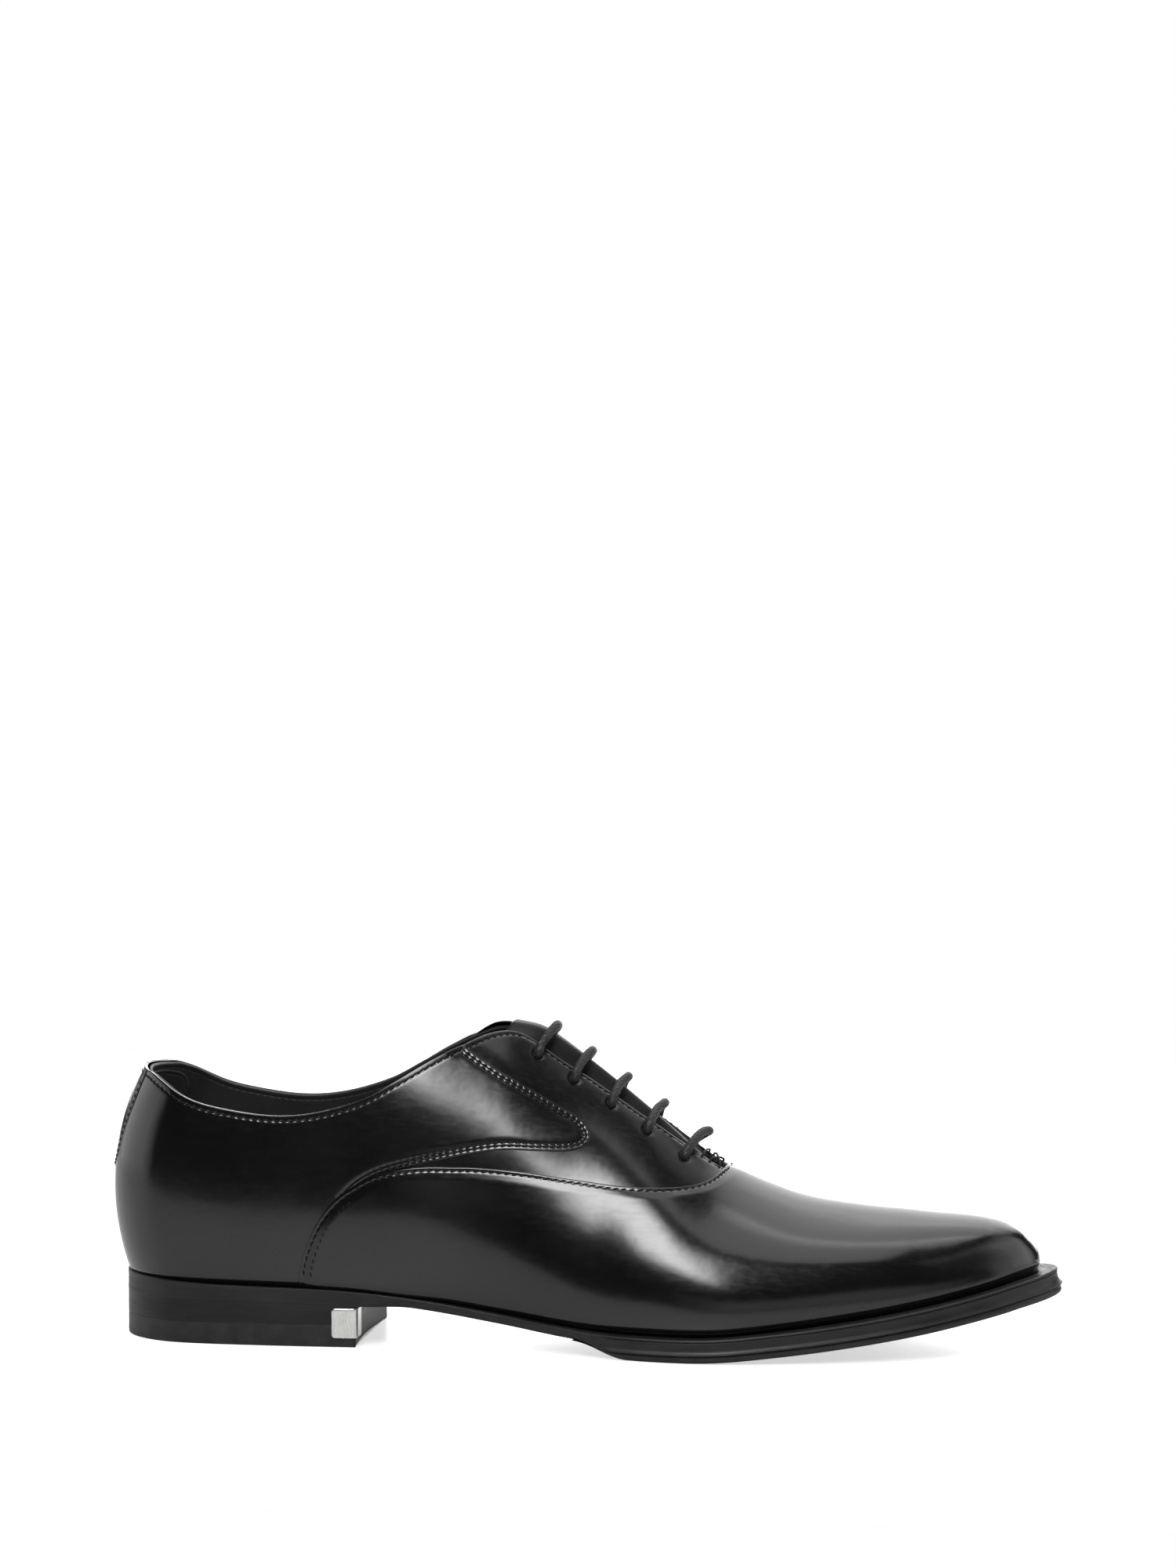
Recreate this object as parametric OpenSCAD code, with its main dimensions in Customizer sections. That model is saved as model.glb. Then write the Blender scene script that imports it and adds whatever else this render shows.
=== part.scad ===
// Plain-toe oxford shoe for the right foot, size EU 42, in millimetres.
// Toe towards +X, outer (lateral) side towards -Y, floor at Z = 0.
// Origin: centre of the footprint, on the floor.

/* [Upper] */
// thickness of one layer of upper leather
leather_t = 1.1; // [0.8:0.1:1.3]
// thickness of the lining leather
lining_t = 0.75; // [0.5:0.05:0.8]
// thickness of the hidden stiffeners at heel and toe
stiffener_t = 1.2; // [0.8:0.1:1.3]
// width of the back strap at the collar, as a share of its full width
back_strap_w = 1.0; // [0.6:0.05:1.1]

/* [Lacing] */
// diameter of the round lace
lace_d = 2.6; // [2.0:0.1:2.7]
// diameter of each punched lace hole
eyelet_d = 3.6; // [3.4:0.1:4.0]
// length of each lace tip
lace_tip_len = 14; // [10:1:16]
// how far each lace bar stands above the facings
lace_rise = 2.6; // [2.2:0.1:4.0]

/* [Sole] */
// thickness of the leather through sole
midsole_t = 2.3; // [1.8:0.1:2.4]
// thickness of the rubber forepart sole
outsole_t = 2.7; // [2.2:0.1:2.8]
// how far the sole edge stands out round the toe and ball
welt_ledge = 4.6; // [3.0:0.2:5.0]
// how far the sole edge stands out at the waist and heel
waist_ledge = 1.8; // [1.0:0.2:2.4]

/* [Heel] */
// thickness of the rubber top piece that meets the floor
top_piece_t = 6.5; // [4:0.5:7]
// half width of the heel
heel_half_w = 30; // [27:0.5:31]
// number of nails through the heel stack
heel_nail_n = 5; // [3:1:7]
// height of the metal corner plate
plate_h = 9.6; // [6:0.2:9.6]

/* [Hidden] */
$fn = 48;
// layer distances from the base surface of the shoe, outward positive
LINING_OUT = -1.85;
COUNTER_OUT = -0.1;
FACING_OUT = -0.05;
QUARTER_IN = 0.25;
TONGUE_OUT = -6.2;
RUN_OFF = -4.4;
// gap kept between the sole layers
GAP = 0.35;
// height of the foot of the upper above the sole seam
FOOT_GAP = 0.45;
// height of the top of the heel stack
STACK_TOP = 14.3;
// last station at the toe
QN = 17;
// Shoe stations from heel to toe: X, height of the seam with the sole, then for the outer side and
// the inner side: foot of the section (half width), lower control (half width, height), upper
// control (half width, height), top (half width, height).
ST = [
  [-149.9, 19, 0, 0, 45, 0, 88, 0, 112, 0, 0, 45, 0, 88, 0, 112],
  [-146.5, 19, 14, 17, 45, 14.5, 88, 11.5, 112, 14, 17, 45, 14.5, 88, 11.5, 112],
  [-137.2, 19, 23.5, 29, 45, 25, 88, 19.5, 112, 23.5, 29, 45, 25, 88, 19.5, 112],
  [-124.7, 19, 27.5, 34, 44, 29, 88, 22.5, 112, 27.5, 34, 44, 29, 88, 22.5, 112],
  [-100, 18.7, 29, 36.5, 42, 30, 88, 22, 112, 28, 35.5, 42, 29.5, 88, 22, 112],
  [-75, 18, 29, 37, 40, 31, 88, 20, 112, 26, 35, 42, 30, 88, 20, 112],
  [-50, 15.5, 28.5, 38.5, 38, 33, 88, 13, 111, 22, 34, 42, 31, 88, 13, 111],
  [-25, 12, 31, 41.5, 33, 29, 96, 3, 104, 20.5, 37, 42, 27, 96, 3, 104],
  [0, 8.8, 37, 47, 28, 24, 87, -1.5, 88.5, 26, 43, 38, 24, 87, 1.5, 88.5],
  [22, 7.8, 42, 52, 24, 24, 73.5, -2, 73.5, 34, 49, 33, 24, 73.5, 2, 73.5],
  [45, 8.0, 44.5, 53.5, 22, 25, 57, -2, 57, 41, 51, 28, 24, 57, 2, 57],
  [67, 10, 42.5, 50, 23.5, 26, 48.2, -1.5, 48.2, 43, 50, 26, 25, 48.2, 1.5, 48.2],
  [88, 12.7, 39, 44.5, 26.5, 24, 45, -1, 45, 41, 47, 28, 24, 45, 1, 45],
  [107, 15.8, 34, 38, 29.5, 21, 43.3, -0.5, 43.3, 36, 40, 30, 22, 43.3, 0.5, 43.3],
  [123, 19, 27, 29.5, 31.5, 17, 41, 0, 41, 29, 31.5, 31.5, 18, 41, 0, 41],
  [136, 22, 18.5, 20, 33, 11.5, 37.8, 0, 37.8, 20, 21.5, 33, 12, 37.8, 0, 37.8],
  [144, 24.5, 9.5, 10, 32, 6, 33.2, 0, 33.2, 10.3, 11, 32, 6.3, 33.2, 0, 33.2],
  [146.6, 26, 0, 0, 28, 0, 29.5, 0, 29.5, 0, 0, 28, 0, 29.5, 0, 29.5]
];
// columns that change sign across the back seam and the toe
WIDTHS = [0, 0, 1, 1, 0, 1, 0, 1, 0, 1, 1, 0, 1, 0, 1, 0];
// stations continued one step past each end, so the surface closes smoothly
ROW_BEFORE = [for (c = [0:15]) WIDTHS[c] == 1 ? -ST[1][c] : ST[1][c]];
ROW_AFTER = [for (c = [0:15]) c == 0 ? ST[QN - 1][0]
             : WIDTHS[c] == 1 ? -ST[QN - 1][c] : 2 * ST[QN][c] - ST[QN - 1][c]];
STE = concat([ROW_BEFORE], ST, [ROW_AFTER]);
// Lines on the shoe as [station, share of the way up the section].
// vamp edge from the sole at the outer quarter up to the throat
VAMP_EDGE = [[4.40, 0.03], [4.47, 0.127], [4.57, 0.207], [4.71, 0.28], [4.93, 0.347], [5.21, 0.396],
  [5.44, 0.427], [5.76, 0.451], [6.1, 0.462], [6.5, 0.461], [7.0, 0.462], [7.5, 0.478], [8.0, 0.502],
  [8.5, 0.53], [8.93, 0.565], [9.25, 0.605], [9.5, 0.655], [9.72, 0.72], [9.88, 0.8], [9.98, 0.9],
  [10.02, 1.0]];
// quarter: lower edge and upper edge, point for point from the back seam to the rounded tip
QUARTER_LOW = [[0, 0], [0.5, 0], [1, 0], [1.5, 0], [2.5, 0], [3.3, 0], [4.0, 0], [4.6, 0],
  [4.85, 0.2], [5.3, 0.38], [5.9, 0.46], [6.34, 0.486], [6.78, 0.501], [7.44, 0.536], [7.89, 0.574],
  [8.08, 0.612], [8.16, 0.64]];
QUARTER_HIGH = [[0, 0.712], [0.5, 0.709], [1, 0.703], [1.5, 0.694], [2.5, 0.65], [3.3, 0.61],
  [4.0, 0.59], [4.6, 0.602], [5.19, 0.646], [5.64, 0.708], [6.06, 0.772], [6.49, 0.825],
  [6.96, 0.738], [7.4, 0.712], [7.8, 0.702], [8.06, 0.69], [8.16, 0.66]];
// facing: hidden edge and front edge, from the collar down to the throat
FACING_HIDDEN = [[6.2, 0.785], [5.7, 0.62], [5.35, 0.46], [5.6, 0.39], [6.4, 0.385], [7.2, 0.4],
  [8.0, 0.42], [8.9, 0.48], [9.55, 0.58], [9.95, 0.74]];
FACING_FRONT = [[7.36, 0.955], [7.55, 0.91], [7.75, 0.902], [8.04, 0.9], [8.4, 0.888], [8.8, 0.88],
  [9.12, 0.885], [9.45, 0.9], [9.72, 0.905], [9.9, 0.91]];
// quarter lining: lower edge and upper edge
QLINING_LOW = [[1.6, 0], [2.5, 0], [3.3, 0], [4, 0], [4.6, 0], [5.19, 0], [5.64, 0], [6.06, 0],
  [6.4, 0.0], [6.7, 0.15], [7.1, 0.3], [7.6, 0.4], [8.3, 0.455], [9.0, 0.52], [9.5, 0.61], [9.8, 0.74]];
QLINING_HIGH = [[1.6, 0.69], [2.5, 0.648], [3.3, 0.608], [4, 0.588], [4.6, 0.6], [5.19, 0.644],
  [5.64, 0.706], [6.06, 0.77], [6.5, 0.828], [7.0, 0.918], [7.37, 0.95], [7.75, 0.898], [8.4, 0.884],
  [9.0, 0.882], [9.5, 0.896], [9.85, 0.905]];
// edge of the vamp lining from the insole up to the throat
VLINING_EDGE = [[6.6, 0.03], [6.85, 0.16], [7.2, 0.285], [7.7, 0.375], [8.4, 0.43], [9.1, 0.49],
  [9.65, 0.59], [10.0, 0.73], [10.18, 0.88], [10.22, 1.0]];
// lace holes, from the collar to the throat
EYELETS = [[7.4, 0.86], [7.87, 0.838], [8.4, 0.824], [8.95, 0.812], [9.47, 0.812]];
// sole edge distance: station, share of waist-to-welt ledge on the outer and inner side
LEDGE = [[0, 0, 0], [6, 0, 0], [7, 0.1, 0], [8, 0.45, 0], [9, 0.9, 0.45], [10, 1, 0.9], [11, 1, 1],
  [15, 1, 1], [17, 1.15, 1.15]];

// shift that puts the middle of the footprint at X = 0
CENTRE_X = 2.7;

function mix(a, b, t) = a + (b - a) * t;
function clamp01(t) = min(1, max(0, t));
function ease(t) = let (c = clamp01(t)) c * c * (3 - 2 * c);
function unit(v) = v / max(norm(v), 1e-9);
// smooth curve through a list of points
function spline4(a, b, c, d, t) =
  0.5 * (2 * b + (c - a) * t + (2 * a - 5 * b + 4 * c - d) * t * t + (3 * b - a - 3 * c + d) * t * t * t);
function along(pts, t) =
  let (n = len(pts) - 1, s = clamp01(t) * n, i = min(n - 1, floor(s)), f = s - i)
  spline4(pts[max(0, i - 1)], pts[i], pts[i + 1], pts[min(n, i + 2)], f);
// straight-line lookup in a table whose first column rises
function table(t, q, c) =
  let (i = max([for (k = [0:len(t) - 2]) t[k][0] <= q ? k : 0]))
  mix(t[i][c], t[i + 1][c], (q - t[i][0]) / (t[i + 1][0] - t[i][0]));
// one station row of the shoe at any place between the stations
function station(q) =
  let (i = min(QN - 1, max(0, floor(q))))
  spline4(STE[i], STE[i + 1], STE[i + 2], STE[i + 3], q - i);
// height of the sole seam at a place along X, run on past the toe
function seam_at(x) =
  let (i = max([for (k = [0:QN - 1]) ST[k][0] <= x ? k : 0]), t = clamp01((x - ST[i][0]) / (ST[i + 1][0] - ST[i][0])))
  station(i + t)[1] + 0.3 * max(0, x - ST[QN][0]);
// the toe leans slightly to the inner side
function lean(x) = 4 * ease((x - 30) / 117);
// point of the base surface: q station, v share up the section, s side (-1 outer, 1 inner)
function base(q, v, s) =
  let (k = station(q), o = s < 0 ? 2 : 9, w = 1 - v,
       a = w * w * w, b = 3 * v * w * w, c = 3 * v * v * w, d = v * v * v,
       y = a * k[o] + b * k[o + 1] + c * k[o + 3] + d * k[o + 5],
       z = a * k[1] + b * k[o + 2] + c * k[o + 4] + d * k[o + 6],
       x = k[0] + (1 - ease((k[0] + 150) / 60)) * (-5.1 + 0.0065 * (z - 48) * (z - 48)))
  [x, s * y + lean(x), z];
// outward direction of the base surface
function outward(q, v, s) =
  let (tq = base(q + 0.02, v, s) - base(q - 0.02, v, s), tv = base(q, v + 0.01, s) - base(q, v - 0.01, s))
  unit(s < 0 ? cross(tq, tv) : cross(tv, tq));
// point at distance h outside the base surface, kept just above the sole seam at its foot;
// g = [station, share, side, extra distance, length run on past the collar]
function skin(g, h) =
  let (u = outward(g[0], g[1], g[2]), w = g[1] > 0.001 ? u : unit([u[0], u[1], 0]),
       p = base(g[0], g[1], g[2]) + (h + (len(g) > 3 ? g[3] : 0)) * w
           + (len(g) > 4 ? g[4] : 0) * [-0.72, 0, 0.69])
  g[1] > 0.001 ? p : [p[0], p[1], max(p[2], seam_at(p[0])) + FOOT_GAP];

// Faces of a slab whose two sides are grids of n by m points. With thr >= 0 the last column is shut
// on itself from row thr to the mirrored row, as along the ridge of the vamp.
function slab_faces(n, m, thr, flip) =
  let (h = (n - 1) / 2, nm = n * m,
       fs = concat(
         [for (i = [0:n - 2], j = [0:m - 2], k = [0:3])
           let (a = id(i, j, m, h, thr), b = id(i + 1, j, m, h, thr),
                c = id(i + 1, j + 1, m, h, thr), d = id(i, j + 1, m, h, thr))
           k == 0 ? [a, d, c] : k == 1 ? [a, c, b]
           : k == 2 ? [nm + a, nm + c, nm + d] : [nm + a, nm + b, nm + c]],
         [for (i = [0:n - 2]) each wall(id(i, 0, m, h, thr), id(i + 1, 0, m, h, thr), nm)],
         [for (i = [0:n - 2]) if (!(thr >= 0 && i >= thr && i + 1 <= 2 * h - thr))
           each wall(id(i + 1, m - 1, m, h, thr), id(i, m - 1, m, h, thr), nm)],
         [for (j = [0:m - 2]) each wall(id(0, j + 1, m, h, thr), id(0, j, m, h, thr), nm)],
         [for (j = [0:m - 2]) each wall(id(n - 1, j, m, h, thr), id(n - 1, j + 1, m, h, thr), nm)]))
  flip ? [for (f = fs) [f[0], f[2], f[1]]] : fs;
function wall(a, b, nm) = [[a, b, nm + b], [a, nm + b, nm + a]];
function id(i, j, m, h, thr) =
  (thr >= 0 && j == m - 1 && i > h && 2 * h - i >= thr ? 2 * h - i : i) * m + j;
function flat_list(g) = [for (r = g) for (p = r) p];

// leather sheet over the base surface between the distances lo and hi
module sheet(g, lo, hi, thr = -1, flip = false) {
  polyhedron(
    points = concat([for (p = flat_list(g)) skin(p, hi)], [for (p = flat_list(g)) skin(p, lo)]),
    faces = slab_faces(len(g), len(g[0]), thr, flip));
}

// solid between two grids of plain points
module slab(top, bottom, flip = false) {
  polyhedron(
    points = concat(flat_list(top), flat_list(bottom)),
    faces = slab_faces(len(top), len(top[0]), -1, flip));
}

// grid between two matching edges, n steps along and m steps across
function between(low, high, s, n, m) =
  [for (i = [0:n]) let (a = along(low, i / n), b = along(high, i / n))
    [for (j = [0:m]) let (p = mix(a, b, j / m)) [p[0], p[1], s]]];

// half of a closed front: columns rise from the sole to the edge line, then to the ridge
function front_half(edge, s, nd, nr, m, lift) =
  concat(
    [for (i = [0:nd]) let (p = along(edge, i / nd))
      [for (j = [0:m]) [p[0], p[1] * j / m, s, lift * (1 - ease((p[0] - 5.8) / 1.2))]]],
    [for (i = [1:nr]) let (q0 = edge[len(edge) - 1][0], q = QN - (QN - q0) * pow(1 - i / nr, 1.15))
      [for (j = [0:m]) [q, j / m, s, 0]]]);
function mirror_rows(g) = [for (i = [len(g) - 2:-1:0]) [for (p = g[i]) [p[0], p[1], -p[2], p[3]]]];
// full front from the outer side round the toe to the inner side
function front(edge, nd, nr, m, lift) =
  let (a = front_half(edge, -1, nd, nr, m, lift)) concat(a, mirror_rows(a));

// grid that wraps round the back, from the outer side to the inner side
function wrap_back(qmax, n, m, low, high) =
  [for (i = [-n:n]) let (q = qmax * abs(i) / n, s = i < 0 ? -1 : 1, t = abs(i) / n)
    [for (j = [0:m]) [q, mix(mix(low[0], low[1], t * t), mix(high[0], high[1], t * t), j / m), s]]];

// the lace holes of one side
module holes(s) {
  for (e = EYELETS)
    let (p = base(e[0], e[1], s), u = outward(e[0], e[1], s))
      translate(p)
        rotate([0, acos(u[2]), atan2(u[1], u[0])])
          translate([0, 0, -6])
            cylinder(d = eyelet_d, h = 10, $fn = 24);
}

// sole outline: point at station q, d outside the seam line, dz above it
function plan(q, s, d, dz) =
  let (p = base(q, 0, s), u = outward2(q, s), x = p[0] + d * u[0]) [x, p[1] + d * u[1], seam_at(x) + dz];
function outward2(q, s) =
  let (t = base(q + 0.02, 0, s) - base(q - 0.02, 0, s)) unit(s < 0 ? [t[1], -t[0]] : [-t[1], t[0]]);
function ledge(q, s) = mix(waist_ledge, welt_ledge, table(LEDGE, q, s < 0 ? 1 : 2));
// stations for a plate, closer together near its ends
function steps(q0, q1, n) = [for (i = [0:n]) mix(q0, q1, 0.5 - 0.5 * cos(180 * i / n))];
// plate across the shoe; d gives the edge distance on each side at each station
function plate_rows(qs, dl, dm, zs) =
  [for (i = [0:len(qs) - 1])
    let (a = plan(qs[i], -1, dl[i], zs[i]), b = plan(qs[i], 1, dm[i], zs[i]))
    [for (t = [0, 0.25, 0.5, 0.75, 1]) let (p = mix(a, b, t)) [p[0], p[1], seam_at(p[0]) + zs[i]]]];
module plate(qs, dl, dm, ztop, zbot) {
  slab(plate_rows(qs, dl, dm, ztop), plate_rows(qs, dl, dm, zbot));
}

// heel outline, drawn inside the seat edge by e
function heel_outline(e) =
  let (w = heel_half_w - e, x0 = -152 + e, x1 = -71)
  concat(
    [[x1, -w], [x1 - 1.2, -w / 2], [x1 - 1.6, 0], [x1 - 1.2, w / 2], [x1, w]],
    [for (a = [0:7.5:180]) [x0 + 30 - 30 * sin(a), w * sign(cos(a)) * pow(abs(cos(a)), 0.9)]]);
module heel_slice(z0, z1, e0) {
  translate([0, 0, z0])
    linear_extrude(height = z1 - z0)
      polygon(heel_outline(e0));
}
// places of the heel nails round the heel
function nail_at(i) =
  let (a = 180 * i / (heel_nail_n - 1)) [-122 - 18 * sin(a) + 22 * abs(cos(a)), 19 * cos(a)];

// puts a finished piece over the origin
module placed() {
  translate([CENTRE_X, 0, 0])
    children();
}

// ---- upper ----

module vamp() {
  color([0.06, 0.06, 0.065])
    sheet(front(VAMP_EDGE, 22, 18, 8, 1.4), 0.45, 0.45 + leather_t, 22);
}

module vamp_lining() {
  color([0.10, 0.10, 0.10])
    sheet(front(VLINING_EDGE, 14, 16, 6, 0), LINING_OUT - lining_t, LINING_OUT, 14);
}

module toe_puff() {
  color([0.72, 0.66, 0.52])
    sheet(front([[12.9, 0.05], [12.7, 0.5], [12.6, 1]], 4, 12, 6, 0), -0.1 - stiffener_t, -0.1, 4);
}

module quarter(s) {
  color([0.06, 0.06, 0.065])
    sheet(between(QUARTER_LOW, QUARTER_HIGH, s, 30, 8), QUARTER_IN, QUARTER_IN + leather_t, -1, s > 0);
}

module quarter_lateral() {
  quarter(-1);
}

module quarter_medial() {
  quarter(1);
}

module facing(s) {
  color([0.07, 0.07, 0.075])
    difference() {
      sheet(between(FACING_HIDDEN, FACING_FRONT, s, 22, 9), FACING_OUT - leather_t, FACING_OUT, -1, s > 0);
      holes(s);
    }
}

module facing_lateral() {
  facing(-1);
}

module facing_medial() {
  facing(1);
}

module eyelet_stay(s) {
  color([0.80, 0.78, 0.70])
    difference() {
      sheet([for (i = [0:14]) let (q = mix(7.15, 9.75, i / 14))
               [for (j = [0:2]) [q, table([[7, 0.84], [8, 0.8], [9, 0.775], [10, 0.78]], q, 1) + 0.035 * j, s]]],
            -1.75, -1.4, -1, s > 0);
      holes(s);
    }
}

module eyelet_stay_lateral() {
  eyelet_stay(-1);
}

module eyelet_stay_medial() {
  eyelet_stay(1);
}

module quarter_lining(s) {
  color([0.10, 0.10, 0.10])
    difference() {
      sheet(between(QLINING_LOW, QLINING_HIGH, s, 26, 8), LINING_OUT - lining_t, LINING_OUT, -1, s > 0);
      holes(s);
    }
}

module quarter_lining_lateral() {
  quarter_lining(-1);
}

module quarter_lining_medial() {
  quarter_lining(1);
}

module back_strap() {
  color([0.05, 0.05, 0.055])
    sheet([for (i = [-6:6]) let (t = i / 6)
             [for (j = [0:8]) let (v = mix(0.37, 0.712, j / 8))
               [abs(t) * back_strap_w * table([[0, 0.08], [0.2, 0.6], [0.4, 0.85], [1, 1.0]], j / 8, 1),
                v, i < 0 ? -1 : 1]]],
          QUARTER_IN + leather_t + 0.2, QUARTER_IN + leather_t + 1.0, -1, true);
}

module heel_counter() {
  color([0.70, 0.62, 0.48])
    sheet(wrap_back(4.1, 14, 6, [0.02, 0.02], [0.5, 0.22]), COUNTER_OUT - stiffener_t, COUNTER_OUT, -1, true);
}

module heel_grip() {
  color([0.13, 0.13, 0.13])
    sheet(wrap_back(1.9, 10, 6, [0.03, 0.03], [0.705, 0.675]), -3.45, -2.85, -1, true);
}

// grid of the tongue: rows from its free top to the throat, columns over the ridge; the first rows
// run on straight above the top lace hole
function tongue_grid(over, n, m) =
  [for (i = [0:n]) let (t = i / n, up = clamp01(1 - t / 0.25), q = mix(7.4, 9.85, clamp01((t - 0.25) / 0.75)))
    [for (j = [-m:m]) let (f = abs(j) / m)
      [q, mix(1, mix(0.71, 0.66, t), f), j < 0 ? -1 : 1, 0, over * up * (1 - 0.35 * pow(f, 4))]]];

module tongue() {
  color([0.07, 0.07, 0.075])
    sheet(tongue_grid(14, 18, 6), TONGUE_OUT - leather_t, TONGUE_OUT);
}

module tongue_lining() {
  color([0.11, 0.11, 0.11])
    sheet(tongue_grid(13, 18, 6), TONGUE_OUT - leather_t - 1.1, TONGUE_OUT - leather_t - 0.4);
}

// ---- lace ----

function hole_pt(k, s, off, shift) = [EYELETS[k][0], EYELETS[k][1] + shift, s, off];
// over the front from one side to the other at hole pair k
function bar(k, s) =
  [hole_pt(k, s, -0.9, 0), hole_pt(k, s, 1.1, 0.004), hole_pt(k, s, lace_rise, 0.03),
   [EYELETS[k][0], 0.97, s, lace_rise + 0.2], [EYELETS[k][0], 0.97, -s, lace_rise + 0.2],
   hole_pt(k, -s, lace_rise, 0.03), hole_pt(k, -s, 1.1, 0.004), hole_pt(k, -s, -0.9, 0)];
// under the facing from hole a to hole b, set aside by shift where it passes other holes
function run(a, b, s, shift) =
  let (pa = EYELETS[a], pb = EYELETS[b])
  concat(
    [hole_pt(a, s, -3.2, 0), [mix(pa[0], pb[0], 0.1), pa[1] + shift / 2, s, RUN_OFF]],
    [for (t = [0.3, 0.5, 0.7]) [mix(pa[0], pb[0], t), mix(pa[1], pb[1], t) + shift, s, RUN_OFF]],
    [[mix(pa[0], pb[0], 0.9), pb[1] + shift / 2, s, RUN_OFF], hole_pt(b, s, -3.2, 0)]);
// from the top hole on each side down into the shoe, ends tucked beside the lining
function tail(k, s) =
  [hole_pt(k, s, -3.2, 0), [EYELETS[k][0] + 0.02, EYELETS[k][1] - 0.035, s, -4.4],
   [EYELETS[k][0] + 0.05, EYELETS[k][1] - 0.09, s, -4.4], [EYELETS[k][0] + 0.05, 0.69, s, -4.4],
   [EYELETS[k][0] - 0.02, 0.62, s, -4.6], [EYELETS[k][0] - 0.15, 0.55, s, -4.9],
   [EYELETS[k][0] - 0.35, 0.48, s, -5.2], [EYELETS[k][0] - 0.5, 0.41, s, -5.4],
   [EYELETS[k][0] - 0.65, 0.33, s, -5.4]];
function reversed(p) = [for (i = [len(p) - 1:-1:0]) p[i]];
LACE_ROUTE = concat(
  reversed(tail(1, -1)), bar(1, -1), run(1, 3, 1, 0.045), bar(3, 1), run(3, 4, -1, 0), bar(4, -1),
  run(4, 2, 1, -0.045), bar(2, 1), run(2, 0, -1, 0.045), bar(0, -1), tail(0, 1));
LACE_PTS = [for (g = LACE_ROUTE) skin(g, 0)];
LACE_N = len(LACE_PTS);
function tangent(p, i) = unit(p[min(len(p) - 1, i + 1)] - p[max(0, i - 1)]);
// round cord along a list of points
module cord(p, d, sides) {
  n = len(p);
  ts = [for (i = [0:n - 1]) tangent(p, i)];
  us = [for (i = 0, u = unit(cross(ts[0], [0.3, 1, 0.2])); i < n;
         i = i + 1, u = i < n ? unit(u - (u * ts[i]) * ts[i]) : u) u];
  pts = [for (i = [0:n - 1]) let (w = cross(ts[i], us[i])) for (k = [0:sides - 1])
    p[i] + d / 2 * (cos(360 * k / sides) * us[i] + sin(360 * k / sides) * w)];
  polyhedron(points = pts, faces = concat(
    [[for (k = [0:sides - 1]) k]],
    [[for (k = [sides - 1:-1:0]) (n - 1) * sides + k]],
    [for (i = [0:n - 2], k = [0:sides - 1], h = [0:1])
      let (a = i * sides + k, b = i * sides + (k + 1) % sides)
      h == 0 ? [a, a + sides, b] : [b, a + sides, b + sides]]));
}

module lace() {
  color([0.04, 0.04, 0.04])
    cord(LACE_PTS, lace_d, 8);
}

// plastic tip sleeved over one end of the lace
module tip(p, q) {
  u = unit(q - p);
  translate(p)
    rotate([0, acos(u[2]), atan2(u[1], u[0])])
      difference() {
        translate([0, 0, -0.8])
          cylinder(d = lace_d + 0.9, h = norm(q - p) + 0.8, $fn = 24);
        cylinder(d = lace_d + 0.12, h = norm(q - p) + 1, $fn = 24);
      }
}

module lace_tips() {
  color([0.03, 0.03, 0.03]) {
    tip(LACE_PTS[0], LACE_PTS[1]);
    tip(LACE_PTS[LACE_N - 1], LACE_PTS[LACE_N - 2]);
  }
}

module throat_tack() {
  color([0.12, 0.12, 0.12])
    for (q = [9.62, 9.7, 9.78])
      let (a = skin([q, 0.93, -1], 0.9), b = skin([q, 0.93, 1], 0.9), u = unit(b - a))
        translate(a)
          rotate([0, acos(u[2]), atan2(u[1], u[0])])
            cylinder(d = 0.7, h = norm(b - a), $fn = 16);
}

// ---- sole ----

module welt() {
  qs = steps(8.5, QN, 22);
  rows = concat([for (q = qs) [q, -1]], [for (i = [len(qs) - 2:-1:0]) [qs[i], 1]]);
  color([0.10, 0.10, 0.10])
    slab([for (r = rows) [plan(r[0], r[1], ledge(r[0], r[1]), -GAP), plan(r[0], r[1], -5, -GAP)]],
         [for (r = rows) [plan(r[0], r[1], ledge(r[0], r[1]), -2.2), plan(r[0], r[1], -5, -2.2)]]);
}

// top and underside of the through sole, measured from the seam: below the welt in front
function mid_top(q) = -mix(GAP, 2.5, ease((q - 7.9) / 0.6));
function mid_low(q) = mid_top(q) - mix(3.2, midsole_t, ease((q - 7.5) / 1));
// the same plate rows, flat where they lie over the heel stack
function flat_heel(rows, qs) =
  [for (i = [0:len(rows) - 1]) [for (p = rows[i])
    [p[0], p[1], mix(STACK_TOP + GAP + 0.15, p[2], ease((qs[i] - 5.05) / 0.8))]]];
module midsole() {
  qs = steps(0.12, QN - 0.07, 40);
  color([0.12, 0.11, 0.10])
    slab(plate_rows(qs, [for (q = qs) ledge(q, -1)], [for (q = qs) ledge(q, 1)], [for (q = qs) mid_top(q)]),
         flat_heel(plate_rows(qs, [for (q = qs) ledge(q, -1)], [for (q = qs) ledge(q, 1)],
                              [for (q = qs) mid_low(q)]), qs));
}

module outsole_forepart() {
  qs = steps(8.62, QN - 0.07, 26);
  color([0.09, 0.09, 0.09])
    plate(qs, [for (q = qs) ledge(q, -1) - 1], [for (q = qs) ledge(q, 1) - 1],
          [for (q = qs) mid_low(q) - 0.3], [for (q = qs) mid_low(q) - 0.3 - outsole_t]);
}

module cork_filler() {
  qs = steps(9.0, 16.3, 18);
  color([0.65, 0.48, 0.30])
    plate(qs, [for (q = qs) -7], [for (q = qs) -7],
          [for (q = qs) 1.3], [for (q = qs) 0.1]);
}

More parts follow.
